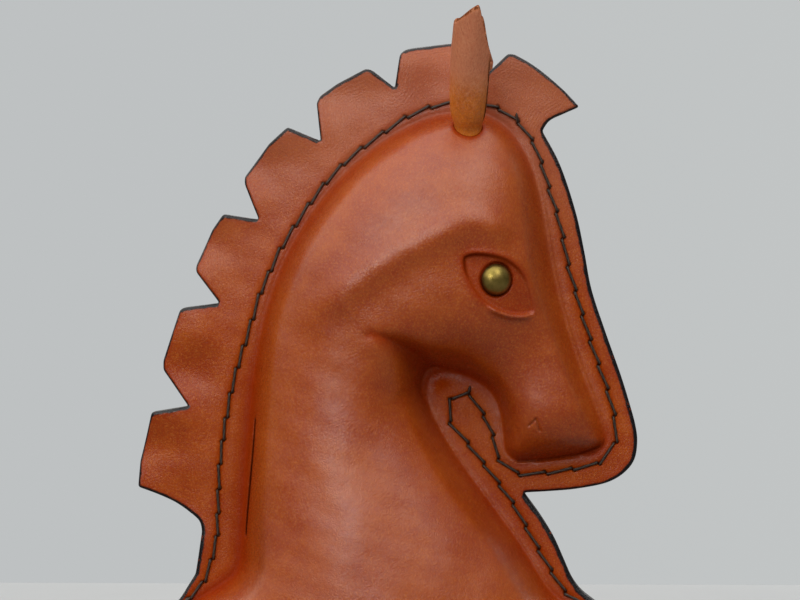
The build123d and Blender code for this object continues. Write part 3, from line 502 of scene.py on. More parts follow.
def mould(face):
    x, z, inset, muzzle = face.x, face.z, face.inset, face.muzzle
    raised = moulded_height(x, z)
    face.height = soft_max(raised, np.zeros_like(raised),
                           3.0 + 3.6 * muzzle + 1.5 * smooth(-30, -40, x))
    face.height += 0.10 * soft_noise(x, z, 3, 11.0) * smooth(0.5, 4, face.edge)
    face.height += 0.22 * soft_noise(x, z, 5, 30.0) * smooth(2, 8, inset)
    # groove along the foot of the moulding, darkened with painted shade
    above_foot = 1 - smooth(16, 10, z)
    face.height -= 0.20 * bell(inset + 0.6, 0.9) * above_foot * (1 - 0.8 * muzzle)
    face.painted_shade = 0.16 * bell(inset + 0.3, 1.2) * above_foot * (1 - 0.7 * muzzle)
    # reddish painted shade along the foot of the moulding, wider on the mane side, little at the
    # muzzle
    back = smooth(-26, -34, x) * smooth(96, 80, z)
    face.red = ((0.75 + 0.25 * back) * bell(inset + 0.4 + 0.5 * back, 2.4 + 0.4 * back)
                * (1 - 0.75 * muzzle))


def stitch_channel(face):
    dist = distance(face.x, face.z, SLITS)
    face.height -= 0.20 * bell(dist, 0.75)
    # near-black and reddish painted shade along the stitch channel
    face.paint_shade(0.42 * bell(dist, 0.62))
    face.paint_red_shade(0.5 * bell(dist, 1.5))
    hole = np.zeros_like(face.x)
    for centre, direction in zip(seam_at, seam_dir):
        rx, rz = face.x - centre[0], face.z - centre[1]
        near = (np.abs(rx) < 3) & (np.abs(rz) < 3)
        rx, rz = rx[near], rz[near]
        along = rx * direction[0] + rz * direction[1]
        across = -rx * direction[1] + rz * direction[0]
        cut = np.exp(-np.abs(along / 1.05) ** 4 - (across / 0.40) ** 2)
        hole[near] = np.maximum(hole[near], cut)
    # each slit sunk a little and filled with near-black painted shade
    face.height -= 0.85 * hole
    face.paint_shade(hole)


def tooled_lines(face):
    x, z = face.x, face.z
    for line, width, depth, dark in ((MOUTH, 0.60, 0.60, 0.55), (NOSTRIL, 0.42, 0.50, 0.42),
                                     (MUZZLE_MARK, 0.32, 0.20, 0.25)):
        dist = distance(x, z, line)
        face.height -= depth * bell(dist, width)
        # painted shade in the tooled grooves
        face.paint_shade(dark * bell(dist, width * 1.2))
    # jaw crease: a thin sharp start that opens into the deep fold, with near-black and reddish
    # painted shade along it
    dist, _, along, _ = nearest(x, z, crease_line)
    face.height -= 0.35 * bell(dist, 0.8) * smooth(0, 0.2, along)
    face.paint_shade(bell(dist, 0.7 + 1.6 * along) * (0.17 - 0.03 * along) * smooth(0, 0.15, along))
    face.paint_red_shade(bell(dist, 1.6 + 4.5 * along) * 0.75)


def ridges(face):
    x, z, inset = face.x, face.z, face.inset
    # brow ridge with a hollow under it
    dist, side, along, _ = nearest(x, z, brow_line)
    hollow = bell(np.where(side < 0, dist, -dist) - 9.5, 5.5)
    face.height += ((0.30 * bell(dist, 6.5) - 0.20 * hollow) * smooth(0.0, 0.3, along)
                    * smooth(1.0, 0.8, along) * smooth(3, 9, inset))
    # fine crest just outside the moulding, by the muzzle and along the throat
    line = bell(inset + 1.15, 0.42)
    throat = (smooth(9, 13, x) * smooth(80, 72, z) * smooth(16, 24, z)
              * smooth(1.0, -4.0, x + 0.72 * (z - 84) - 26))
    crest = line * (smooth(36, 42, x) * smooth(64, 72, z) + throat)
    face.height += 0.42 * np.clip(crest, 0, 1)
    # reddish painted shade taken off the crest
    share = np.clip(crest / np.maximum(line, 1e-3), 0, 1)
    face.red *= 1 - 0.85 * np.clip(bell(inset + 1.15, 0.8) * share, 0, 1)
    # soft swell of the muzzle around the nostril
    face.height += (0.95 * np.exp(-((x - 43) / 13.0) ** 2 - ((z - 70) / 8.5) ** 2)
                    * smooth(1.0, 7.0, inset))


def eyelids(face):
    x, z = face.x, face.z
    socket = inset_from(x, z, socket_line)
    low, _, low_along, _ = nearest(x, z, spline(LOWER_LID))
    face.height += (1.15 * bell(low, 0.95) * smooth(0.0, 0.25, low_along)
                    * smooth(1.03, 0.8, low_along))
    upper, _, up_along, _ = nearest(x, z, spline(UPPER_LID))
    face.height += (0.32 * bell(upper, 1.1) * smooth(0.0, 0.15, up_along)
                    * smooth(0.9, 0.5, up_along))
    # painted shade under the upper lid and inside the socket, taken off the crest of the lower lid
    top = smooth(108, 116, z)
    back = smooth(36, 26, x)
    face.paint_shade(bell(socket - 0.2, 0.55) * top * (0.30 + 0.28 * back))
    face.paint_red_shade(0.38 * smooth(0, 1.0, socket))
    face.paint_red_shade(bell(socket, 1.3) * (0.30 + 0.5 * np.maximum(top, back)))
    face.paint_red_shade(0.8 * bell(socket - 1.0, 0.9) * smooth(106, 101, z))
    face.red *= 1 - 0.95 * bell(low, 1.0) * smooth(0.05, 0.3, low_along)


def eye_seat(face):
    """Flat seat under the brass cap."""
    point, _, _, normal = eye_frame
    radius = face.radius(eye_frame)
    flat = smooth(5.6, 4.9, radius)
    seat_y = point[1] - ((face.x - point[0]) * normal[0] + (face.z - point[2]) * normal[2]
                         + 0.62) / normal[1]
    face.height = face.height * (1 - flat) + (-seat_y - LEATHER) * flat
    # painted shade in a ring round the brass cap
    face.paint_shade(bell(radius - 4.95, 0.5) * 0.75)
    face.paint_red_shade(bell(radius - 5.0, 1.3) * 0.8)


def ear_ring(face):
    """Shallow groove with painted shade in a ring where the ear passes through."""
    radius = face.radius(ear_frame)
    face.height -= 0.30 * bell(radius - 4.2, 0.6)
    face.paint_shade(bell(radius - 4.15, 0.4) * 0.8)
    face.paint_red_shade(bell(radius - 4.4, 1.1) * 0.9)


def neck_slit(face):
    dist, _, along, _ = nearest(face.x, face.z, spline(NECK_SLIT, 1.0))
    width = 0.20 + 0.20 * smooth(0, 0.35, along) * smooth(1, 0.5, along)
    face.slit = bell(dist, width) * smooth(0, 0.06, along) * smooth(1, 0.94, along)


def jaw_red_shade(face):
    """More reddish painted shade under the end of the jaw crease, less at the chin."""
    face.paint_red_shade(0.40 * bell(np.hypot((face.x - 17) * 0.8, (face.z - 86) * 1.1), 8))
    face.red *= 1 - 0.7 * bell(np.hypot(face.x - 28, face.z - 67), 9.0)


def cut_edge(face):
    """Rounded edge, left square where the panel enters the foot."""
    reach = np.clip(EDGE_R - face.edge, 0, EDGE_R)
    drop = EDGE_R - np.sqrt(np.maximum(EDGE_R ** 2 - reach ** 2, 0))
    face.height -= drop * (1 - smooth(9.5, 8.0, face.z) * smooth(58, 60, np.abs(face.x)))


# ---------------------------------------------------------------- inner face and bending
def inner_depths():
    """1 mm grid of the inner face: everything at least LEATHER inside the outer face."""
    xs, zs = np.arange(-80.0, 80.1, 1.0), np.arange(-8.0, 188.1, 1.0)
    x, z = np.meshgrid(xs, zs, indexing="ij")
    outer = np.full(x.shape, -12.0)
    low = zs < 174
    outer[:, low] = np.clip(moulded_height(x[:, low], z[:, low]), -12.0, None)
    inner = np.full_like(outer, 1e9)
    for dx in range(-3, 4):
        for dz in range(-3, 4):
            square = LEATHER * LEATHER - dx * dx - dz * dz
            if square >= 0:
                shifted = np.roll(np.roll(outer, dx, 0), dz, 1)
                inner = np.minimum(inner, shifted + LEATHER - math.sqrt(square))
    return xs, zs, np.maximum(inner, 0.02)


def inner_y(x, z):
    xs, zs, depth = inner_depths()
    fx = np.clip(x - xs[0], 0, len(xs) - 1.001)
    fz = np.clip(z - zs[0], 0, len(zs) - 1.001)
    i, j = np.floor(fx).astype(int), np.floor(fz).astype(int)
    a, b = fx - i, fz - j
    return -((1 - a) * (1 - b) * depth[i, j] + a * (1 - b) * depth[i + 1, j]
             + (1 - a) * b * depth[i, j + 1] + a * b * depth[i + 1, j + 1])


def bend_y(x, z):
    """The cut tabs of the mane are not quite flat: both layers bend together."""
    outside = np.maximum(-inset_from(x, z, moulding_line), 0)
    amount = smooth(6.5, 24, outside) * np.where(x < 20, 1, 0.6)
    lean = 0.085 * np.maximum(outside - 4.0, 0) * smooth(85, 135, z)
    return amount * (0.9 * np.sin(x * 0.11 + z * 0.17) + 0.5 * np.sin(z * 0.31 + 1.0)) + lean


# ---------------------------------------------------------------- sampling the panel
def tri_grid(x0, x1, z0, z1, pitch):
    """Slightly shaken triangular grid."""
    points = []
    for j in range(int((z1 - z0) / (pitch * 0.866)) + 1):
        xs = np.arange(x0 + (pitch * 0.5 if j % 2 else 0), x1, pitch)
        points.append(np.stack([xs, np.full_like(xs, z0 + j * pitch * 0.866)], 1))
    points = np.vstack(points)
    return points + rng.uniform(-0.03, 0.03, points.shape) * pitch


def near_line(line, width, pitch, closed=False):
    line = np.array(line, float)
    x0, z0 = line.min(0) - width
    x1, z1 = line.max(0) + width
    points = tri_grid(x0, x1, z0, z1, pitch)
    return points[distance(points[:, 0], points[:, 1], line, closed) < width]


def thin(points, cell):
    """Keeps the first point met in every square cell, so that finer sets, given first, win."""
    key = np.floor(points / cell).astype(np.int64)
    _, first = np.unique(key[:, 0] * 100003 + key[:, 1], return_index=True)
    return points[np.sort(first)]


def keep_inside(points, loop, margin):
    return points[inset_from(points[:, 0], points[:, 1], loop) > margin]


def fine_points():
    """Sample points of the outer face, closer together near every detail."""
    rings = [keep_inside(outline - outline_out * depth, outline, 0.93 * depth)
             for depth in (0.10, 0.30, 0.58, 0.90, 1.2, 1.65)]
    sets = []
    for centre, (ux, uz) in zip(seam_at, seam_dir):
        a, b = tri_grid(-2.1, 2.1, -1.2, 1.2, 0.34).T
        sets.append(np.stack([centre[0] + a * ux - b * uz, centre[1] + a * uz + b * ux], 1))
    for line, width, pitch in ((SLITS, 1.3, 0.42), (NECK_SLIT, 0.8, 0.24), (NOSTRIL, 1.3, 0.3),
                               (MUZZLE_MARK, 0.9, 0.3), (MOUTH, 1.5, 0.36),
                               (crease_line, 2.2, 0.4)):
        sets.append(near_line(line, width, pitch))
    sets.append(near_line(socket_line, 1.8, 0.42, True))
    sets.append(tri_grid(22, 45, 99, 121, 0.55))        # around the eye
    sets.append(tri_grid(17, 31, 148, 160.5, 0.5))      # around the ear
    sets.append(near_line(moulding_line, 1.9, 0.55, True))
    sets.append(tri_grid(-77, 77, 4.0, 183, 0.85))
    kept = keep_inside(np.vstack(sets), outline, 1.75)
    return np.vstack(rings + [thin(kept, 0.24)])


def triangulate(loop, points):
    """Points, triangles, and the index of every loop point among the points."""
    count = len(loop)
    given = [Vector((float(a), float(b))) for a, b in (*loop, *points)]
    result = delaunay_2d_cdt(given, [], [list(range(count))], 1, 1e-6)
    flat = np.array([(v[0], v[1]) for v in result[0]])
    triangles = np.array([f for f in result[2] if len(f) == 3], int)
    first = {}
    for k, sources in enumerate(result[3]):
        for source in sources:
            first[source] = k
    return flat, triangles, np.array([first[i] for i in range(count)])


# ---------------------------------------------------------------- mesh helpers
# Point attributes the finishes read: distance to the cut edge, near-black painted shade,
# distance inside the moulding, reddish painted shade, and width of the dyed edge on the face.
DYE_AND_SHADE_NAMES = ("ed", "cav", "sd", "red", "ew")


def add_object(name, data):
    ob = bpy.data.objects.new(name, data)
    scene.collection.objects.link(ob)
    return ob


def write_mesh(name, verts, faces, attributes):
    """verts in millimetres; faces a list of index tuples."""
    mesh = bpy.data.meshes.new(name)
    mesh.from_pydata((np.asarray(verts, float) / 1000.0).tolist(), [],
                     [tuple(map(int, f)) for f in faces])
    for key, values in attributes.items():
        attribute = mesh.attributes.new(key, "FLOAT", "POINT")
        attribute.data.foreach_set("value", np.asarray(values, np.float32))
    bm = bmesh.new()
    bm.from_mesh(mesh)
    bmesh.ops.recalc_face_normals(bm, faces=bm.faces)
    bm.to_mesh(mesh)
    bm.free()
    mesh.polygons.foreach_set("use_smooth", np.ones(len(mesh.polygons), bool))
    mesh.update()
    return add_object(name, mesh)


def loft(rows, base=0):
    """Closed rings (rows, n, 3) joined by quads, with a fan to a centre point at both ends."""
    count, n = rows.shape[:2]
    faces = []
    for i in range(count - 1):
        for k in range(n):
            a, b = base + i * n + k, base + i * n + (k + 1) % n
            faces.append((a, b, b + n, a + n))
    centre = base + count * n
    last = centre - n
    faces += [(centre, base + (k + 1) % n, base + k) for k in range(n)]
    faces += [(centre + 1, last + k, last + (k + 1) % n) for k in range(n)]
    return np.vstack([rows.reshape(-1, 3), rows[0].mean(0), rows[-1].mean(0)]), faces


def per_ring(values, n, caps):
    """One value per ring of n points, then one per end cap."""
    return np.concatenate([np.repeat(values, n), caps])


def set_on(axis, verts, left):
    """Local points carried to an axis frame, mirrored to +Y for the left side."""
    point, across, up, direction = axis
    placed = (point + np.outer(verts[:, 0], across) + np.outer(verts[:, 1], up)
              + np.outer(verts[:, 2], direction))
    if left:
        placed[:, 1] *= -1
    return placed


# ---------------------------------------------------------------- the two panels
def edge_dye_width(x, z):
    """How far the dye of the cut edge runs onto the face: more on the nose side and the top."""
    square = (x[:, None] - outline[None, ::4, 0]) ** 2 + (z[:, None] - outline[None, ::4, 1]) ** 2
    nx, nz = outline_out[::4][square.argmin(1)].T
    width = 0.50 + 0.62 * smooth(0.15, 0.8, nx) * smooth(168, 148, z) + 0.50 * smooth(0.3, 0.9, nz)
    return width + 0.65 * smooth(60, 30, z) * smooth(0.1, 0.6, -nz - nx)


flat_out, tri_out, ring_out = triangulate(outline, fine_points())
face = Face(flat_out[:, 0], flat_out[:, 1])
edge_width = np.concatenate([edge_dye_width(face.x[i:i + 8000], face.z[i:i + 8000])
                             for i in range(0, len(face.x), 8000)])
inner_loop = outline - outline_out * 0.14
flat_in, tri_in, ring_in = triangulate(
    inner_loop, keep_inside(tri_grid(-77, 77, 4.0, 183, 2.4), inner_loop, 1.0))
inner_depth = inner_y(flat_in[:, 0], flat_in[:, 1])
bend_out = bend_y(face.x, face.z)
bend = np.concatenate([bend_out, bend_out[ring_out], bend_y(flat_in[:, 0], flat_in[:, 1])])

# the turned-out foot: a closed strip with a fillet that climbs the moulded wall
RIM_STATIONS = 260
WALL_LEVELS = (4.2, 7.4, 8.2, 9.2, 10.4, 11.8, 13.4)


def foot_radius(z, angles):
    """Distance from the middle to the moulded wall at height z in the given directions."""
    x = np.linspace(-61.2, 61.2, 490)
    raised = soft_max(moulded_height(x, np.full_like(x, z)), np.zeros_like(x), 3.0)
    y = LEATHER + np.maximum(raised, 0)
    angle = np.arctan2(-y, x)
    order = np.argsort(angle)
    return np.interp(angles, angle[order], np.hypot(x, y)[order])


def foot_rim():
    """Points (station, profile, 3) of the strip at -Y, and its dye values per profile point."""
    angles = -math.pi + (np.arange(RIM_STATIONS + 1) / RIM_STATIONS) * math.pi
    dir_x, dir_y = np.cos(angles), np.sin(angles)
    edge = 1.0 / np.sqrt((dir_x / RIM_AX) ** 2 + (dir_y / RIM_AY) ** 2)
    wall = {level: foot_radius(level, angles) for level in WALL_LEVELS}
    profile = [     # radius, z, painted shade, distance to the cut edge
        (wall[4.2] - 3.4, 4.03, 0, 9), (wall[4.2] - 3.6, 8.0, 0, 9),
        (wall[13.4] - 1.2, 13.4, 0.2, 9), (wall[13.4] - 0.35, 13.3, 0.2, 9),
        (wall[11.8] - 0.02, 11.8, 0.3, 9), (wall[10.4] + 0.22, 10.4, 0.55, 9),
        (wall[9.2] + 0.55, 9.2, 0.75, 9), (wall[8.2] + 1.05, 8.2, 0.8, 9),
        (wall[7.4] + 1.7, 7.45, 0.6, 8), (wall[7.4] + 2.6, 7.12, 0.35, 6),
        (np.maximum(wall[7.4] + 3.4, edge - 3.4), 7.02, 0.12, 3.4),
        (edge - 2.2, SOLE_T + RIM_T, 0, 2.2), (edge - 1.3, 6.97, 0, 1.3),
        (edge - 0.75, 6.82, 0, 0.75), (edge - 0.32, 6.48, 0, 0.32),
        (edge - 0.05, 5.9, 0, 0.05), (edge, 5.3, 0, 0), (edge - 0.02, 4.6, 0, 0),
        (edge - 0.2, 4.2, 0, 0.1), (edge - 0.55, 4.03, 0, 0.4)]
    rows, values = [], []
    for radius, z, painted_shade, to_edge in profile:
        radius = np.minimum(radius, edge)
        rows.append(np.stack([radius * dir_x, np.minimum(radius * dir_y, -0.03),
                              np.full(RIM_STATIONS + 1, z)], 1))
        values.append((to_edge, painted_shade, 3.0, min(1.0, painted_shade * 1.3), 1.5))
    return np.stack(rows, 1), values


rim_points, rim_values = foot_rim()


def panel(name, left):
    # the neck slit is sunk and filled with painted shade; the middle of the edge and the inner
    # face get painted shade too
    slit = 0 if left else face.slit
    layers = [      # x, y, z, then the colouring and painted-shade values: outer face, middle of the edge, inner face
        (face.x, -(LEATHER + face.height) + 1.3 * slit, face.z, face.edge,
         np.maximum(face.painted_shade, slit), face.inset, np.maximum(face.red, slit), edge_width),
        (outline[:, 0], -0.38, outline[:, 1], 0.0, 0.2, -9.0, 0.0, 1.6),
        (flat_in[:, 0], inner_depth, flat_in[:, 1], 0.0, 0.4, -9.0, 0.5, 1.6)]
    table = np.vstack([np.column_stack(np.broadcast_arrays(*layer)) for layer in layers])
    verts = table[:, :3]
    first_middle = len(flat_out)
    first_inner = first_middle + len(outline)
    faces = [tuple(f) for f in tri_out]
    faces += [(first_inner + a, first_inner + c, first_inner + b) for a, b, c in tri_in]
    for i in range(len(outline)):
        j = (i + 1) % len(outline)
        mid_i, mid_j = first_middle + i, first_middle + j
        faces.append((ring_out[i], mid_i, mid_j, ring_out[j]))
        faces.append((mid_i, first_inner + ring_in[i], first_inner + ring_in[j], mid_j))
    rim = rim_points.copy()
    if left:
        verts[:, 1] *= -1
        rim[:, :, 1] *= -1
    verts[:, 1] += bend
    # dimples under the sole stitches
    for centre, direction in zip(sole_at, sole_dir):
        rel = rim[:, 10:13, :2] - centre
        along, across = rel @ direction, rel @ np.array([-direction[1], direction[0]])
        rim[:, 10:13, 2] -= 0.3 * np.exp(-np.abs(along / 1.4) ** 4 - (across / 0.7) ** 2)
    rim_verts, rim_faces = loft(rim, len(verts))
    values = np.vstack([table[:, 3:], np.tile(rim_values, (RIM_STATIONS + 1, 1)),
                        [(0, 0, 3.0, 0, 1.5)] * 2])
    return write_mesh(name, np.vstack([verts, rim_verts]), faces + rim_faces,
                      dict(zip(DYE_AND_SHADE_NAMES, values.T)))


right_panel = panel("right_panel_leather", False)
left_panel = panel("left_panel_leather", True)


# ---------------------------------------------------------------- waxed threads
def rounded_path(corners, pieces=4):
    corners = [np.array(p, float) for p in corners]
    path = [corners[0]]
    for a, b, c in zip(corners[:-2], corners[1:-1], corners[2:]):
        before, after = np.linalg.norm(b - a), np.linalg.norm(c - b)
        p = b + (a - b) / before * min(BEND_R, 0.45 * before)
        q = b + (c - b) / after * min(BEND_R, 0.45 * after)
        for k in range(pieces + 1):
            t = k / pieces
            path.append((1 - t) ** 2 * p + 2 * t * (1 - t) * b + t * t * q)
    path.append(corners[-1])
    return np.array(path)


def cord_part(corners):
    """Twisted three-strand cord: a closed tube whose three-lobed section turns along the path,
    with a value per point for the painted shade between the strands.
    """
    path = rounded_path(corners)
    lengths = travelled_length(path)
    count = max(2, int(lengths[-1] / CORD_STEP))
    s = np.linspace(0, lengths[-1], count)
    path = points_at(s, lengths, path)
    tangent = np.gradient(path, axis=0)
    tangent /= np.linalg.norm(tangent, axis=1, keepdims=True) + 1e-12
    upright = abs(tangent[0][2]) >= 0.9
    across = np.cross(tangent[0], np.array([1.0, 0.0, 0.0] if upright else [0.0, 0.0, 1.0]))
    across /= np.linalg.norm(across)
    angles = np.arange(CORD_SIDES) / CORD_SIDES * 2 * math.pi
    lobes = np.cos(3 * (angles[None, :] - 2 * math.pi * s[:, None] / (3 * CORD_LAY)))
    rings = []
    for i in range(count):
        across = across - tangent[i] * np.dot(across, tangent[i])
        across /= np.linalg.norm(across) + 1e-12
        up = np.cross(tangent[i], across)
        taper = min(1.0, 0.35 + (min(i, count - 1 - i)) * 0.35)
        radius = THREAD_R * (1.0 + 0.11 * lobes[i]) * taper
        rings.append(path[i] + np.outer(radius * np.cos(angles), across)
                     + np.outer(radius * np.sin(angles), up))
    verts, faces = loft(np.array(rings))
    return verts, faces, np.concatenate([(0.5 + 0.5 * lobes).ravel(), [0, 0]])


def cord_object(name, paths):
    verts, faces, ply_shades, base = [], [], [], 0
    for part_verts, part_faces, ply in map(cord_part, paths):
        verts.append(part_verts)
        faces += [tuple(i + base for i in f) for f in part_faces]
        ply_shades.append(ply)
        base += len(part_verts)
    return write_mesh(name, np.vstack(verts), faces, {"ply": np.concatenate(ply_shades)})


def seam_path(strand):
    """On either face a run leaves a slit at its forward end and enters the next at its rear."""
    out, tucked = LEATHER + 0.20, LEATHER - 0.4
    last = len(seam_at) - 1
    path = []
    for i, (centre, direction) in enumerate(zip(seam_at, seam_dir)):
        side = -1.0 if (i + strand) % 2 == 0 else 1.0
        wobble = np.random.default_rng(100 + i).uniform(-0.07, 0.07, 4)
        x0, z0 = centre - direction * SEAM_OFFSET + wobble[:2]
        x1, z1 = centre + direction * SEAM_OFFSET + wobble[2:]
        before = -side * (tucked if i == 0 else out)
        after = side * (tucked if i == last else out)
        path += [(x0, before, z0), (x0, before * 0.55, z0), (x1, after * 0.55, z1),
                 (x1, after, z1)]
    return path


def seam_extras():
    """Back-stitches at both ends of the seam, and two trimmed ends of the cord, all at -Y."""
    paths = []
    shift = np.array([0.55, 0.25])
    for i, j in ((0, 1), (60, 61)):
        (ax, az), (bx, bz) = seam_at[i] + shift, seam_at[j] + shift * 0.4
        low, high = -(LEATHER - 1.2), -(LEATHER + 0.75)
        paths.append([(ax, low, az), (ax, high, az), (bx, high, bz), (bx, low, bz)])
    for (ax, az), (bx, bz) in (((38.6, 157.9), (38.4, 161.0)), ((24.1, 77.0), (24.6, 79.4))):
        paths.append([(ax, -(LEATHER - 0.6), az), (ax, -(LEATHER + 0.35), az + 0.3),
                      (bx, -(LEATHER + 0.75), bz)])
    return paths


def sole_path(strand):
    top, bottom = SOLE_T + RIM_T + 0.30, THREAD_R + 0.12
    top_end, bottom_end = top - 1.6, 1.9
    path = []
    for i in range(SOLE_STITCHES):
        rising = (i + strand) % 2 == 0
        x, y = sole_at[i] + sole_dir[i] * SOLE_OFFSET * (-1.0 if rising else 1.0)
        before, after = (bottom, top) if rising else (top, bottom)
        if i == 0:
            before = bottom_end if rising else top_end
        if i == SOLE_STITCHES - 1:
            after = top_end if rising else bottom_end
        path += [(x, y, before), (x, y, after)]
    return path


seam_a = cord_object("seam_thread_a_cord", [seam_path(0)] + seam_extras())
seam_b = cord_object("seam_thread_b_cord", [seam_path(1)])
sole_a = cord_object("sole_thread_a_cord", [sole_path(0)])
sole_b = cord_object("sole_thread_b_cord", [sole_path(1)])

# ---------------------------------------------------------------- sole
# offset from the foot's oval, z, distance to the cut edge, painted shade; with a stitch channel
# below
SOLE_PROFILE = [
    (-6.0, 0.02, 9, 0), (-4.35, 0.0, 9, 0.6), (-4.25, 0.9, 9, 1), (-4.2, 1.25, 9, 1),
    (-1.75, 1.25, 9, 1), (-1.7, 0.9, 9, 1), (-1.65, 0.0, 1.6, 0.6), (-0.9, 0.0, 0.9, 0.1),
    (-0.35, 0.1, 0.3, 0), (-0.08, 0.35, 0.05, 0), (0.0, 0.8, 0, 0), (0.0, 2.2, 0, 0),
    (-0.03, 3.2, 0, 0.1), (-0.12, 3.7, 0, 0.4), (-0.4, 3.93, 0.2, 0.8),
    (-1.0, SOLE_T, 0.8, 0.9), (-6.0, SOLE_T, 6, 0.9)]


def sole_object(name, n=300):
    angles = np.arange(n) / n * 2 * math.pi
    rows = [np.stack([(RIM_AX + offset) * np.cos(angles), (RIM_AY + offset) * np.sin(angles),
                      np.full(n, z)], 1) for offset, z, _, _ in SOLE_PROFILE]
    verts, faces = loft(np.array(rows))
    _, _, to_edge, painted_shade = zip(*SOLE_PROFILE)
    painted_shade = per_ring(painted_shade, n, [0, 0.9])
    values = (per_ring(to_edge, n, [20, 20]), painted_shade, np.full(len(verts), 3.0), painted_shade * 0.4,
              np.full(len(verts), 1.9))
    return write_mesh(name, verts, faces, dict(zip(DYE_AND_SHADE_NAMES, values)))


sole = sole_object("sole_leather_base")

# ---------------------------------------------------------------- ears
# angle around the ear, height of its slanted cut top
EAR_TOP = [
    (-180, 30.0), (-150, 31.0), (-120, 31.8), (-90, 32.4), (-75, 32.7), (-60, 33.4),
    (-45, 34.5), (-30, 36.0), (-15, 37.4), (0, 38.4), (10, 38.9), (16, 38.7), (24, 36.2),
    (32, 33.0), (45, 28.7), (60, 25.2), (75, 22.8), (88, 20.6), (98, 17.0), (108, 12.0),
    (125, 9.6), (145, 10.8), (160, 17.0), (172, 26.5), (180, 30.0)]
# height along the axis, radius
EAR_RADIUS = [(EAR_LOW, 4.0), (0.6, 4.1), (2.4, 4.95), (4.6, 5.5), (9.0, 5.9), (16.0, 6.15),
              (24.0, 6.25), (32.0, 6.05), (EAR_HIGH, 5.8)]
EAR_WALL = 1.45
LAP_AT = 70.0               # angle at which the rolled sheet laps over itself
# share of the way from the outer to the inner face, share of the rise to the top
EAR_LIP = [(0.10, 0.55), (0.30, 0.92), (0.55, 1.0), (0.82, 0.7)]


def ear(name, left, n=144):
    """One rolled sheet, cut to a slanted point."""
    degrees = (np.arange(n) + 0.5) / n * 360.0 - 180.0
    angle = np.radians(degrees)
    top = np.interp(degrees, *zip(*EAR_TOP))
    top = top + 1.1 * smooth(20, 32, top)
    for _ in range(2):
        top = 0.5 * top + 0.25 * (np.roll(top, 1) + np.roll(top, -1))
    radius_s = np.linspace(EAR_LOW, EAR_HIGH, 261)
    radius_r = np.interp(radius_s, *zip(*EAR_RADIUS))
    for _ in range(24):
        radius_r[1:-1] = 0.5 * radius_r[1:-1] + 0.25 * (radius_r[2:] + radius_r[:-2])
    # the sheet spirals inwards from the lap
    past_lap = np.where(degrees > LAP_AT, degrees - LAP_AT, degrees + 360 - LAP_AT)
    lapped = (degrees > LAP_AT) | (degrees < LAP_AT - 210)
    spiral = np.clip(np.where(lapped, 1 - past_lap / 150.0, 0), 0, 1)
    levels = np.concatenate([np.linspace(0, 0.82, 52), np.linspace(0.835, 0.97, 12)])
    outer, inner, to_edge, painted_shade = [], [], [], []
    for level in levels:
        s = EAR_LOW + (top - EAR_LOW) * level
        rolled = smooth(0.5, 4.5, s)
        radius = np.interp(s, radius_s, radius_r) - 1.25 * spiral * rolled
        radius = (radius + 0.10 * np.sin(3 * angle + 0.12 * s) * rolled
                  + 0.07 * np.sin(5 * angle - 0.2 * s + 1) * rolled)
        # slanting dent below the point
        radius = radius - (0.45 * rolled * bell(degrees - 40 + (s - 27) * 1.2, 24.0)
                           * smooth(12, 22, s))
        bow = 0.0016 * np.maximum(s - 1.3, 0) ** 2
        for rows, r in ((outer, radius), (inner, np.maximum(radius - EAR_WALL, 0.4))):
            rows.append(np.stack([r * np.sin(angle) + 0.2 * bow,
                                  -r * np.cos(angle) - 0.5 * bow, s], 1))
        to_edge.append(top - s)
        # painted shade where the sheet laps over itself and at the ear's foot in its hole
        lap_shade = bell(degrees - LAP_AT + 5.0, 7.0) * rolled * smooth(25, 21, s)
        painted_shade.append(np.maximum(lap_shade, 0.35 * bell(s - 0.2, 1.1)))
    # rounded lip between the outer and inner face
    rise = np.stack([np.zeros(n), np.zeros(n), top - outer[-1][:, 2]], 1)
    lip = [outer[-1] + (inner[-1] - outer[-1]) * share + rise * up for share, up in EAR_LIP]
    down = [row for row, level in zip(inner[::-1], levels[::-1]) if level > 0.32]
    verts, faces = loft(np.array(outer + lip + down))
    lip_count = len(EAR_LIP)
    to_edge = np.concatenate(to_edge + [np.zeros(lip_count * n), per_ring(
        np.linspace(0.6, 9, len(down)), n, [9, 9])])
    # the cut lip darkened, and painted shade inside the roll
    painted_shade = np.concatenate(painted_shade + [np.full(lip_count * n, 0.85), per_ring(
        np.linspace(0.7, 1.0, len(down)), n, [0, 1])])
    dyed = (verts[:, 0] > 3.0) & (verts[:, 2] < 25.5)
    return write_mesh(name, set_on(ear_frame, verts, left), faces,
                      {"ed": to_edge, "cav": painted_shade, "red": 0.6 * painted_shade,
                       "ew": np.where(dyed, 0.5, -1.5), "hs": verts[:, 2]})


right_ear = ear("right_ear_leather", False)
left_ear = ear("left_ear_leather", True)


# ---------------------------------------------------------------- brass eye caps
def eye_cap(name, left, n=72):
    bottom = -EYE_SEAT + 0.03
    rise = EYE_H - 0.5
    ball_r = (EYE_R ** 2 + rise ** 2) / (2 * rise)
    widest = math.asin(EYE_R / ball_r)
    # radius, height: underside and rim, then the domed top
    profile = [(0.6, bottom), (EYE_R - 0.5, bottom), (EYE_R - 0.16, bottom + 0.05),
               (EYE_R - 0.02, bottom + 0.2), (EYE_R, bottom + 0.42), (EYE_R - 0.06, bottom + 0.62)]
    for k in range(1, 15):
        t = widest * (1 - k / 14.6) * 0.985
        profile.append((ball_r * math.sin(t), bottom + EYE_H - ball_r * (1 - math.cos(t))))
    angles = np.arange(n) / n * 2 * math.pi
    rows = [np.stack([r * np.cos(angles), r * np.sin(angles), np.full(n, s)], 1)
            for r, s in profile]
    verts, faces = loft(np.array(rows))
    verts[-1, 2] = bottom + EYE_H
    return write_mesh(name, set_on(eye_frame, verts, left), faces,
                      {"rad": np.hypot(verts[:, 0], verts[:, 1]) / EYE_R})


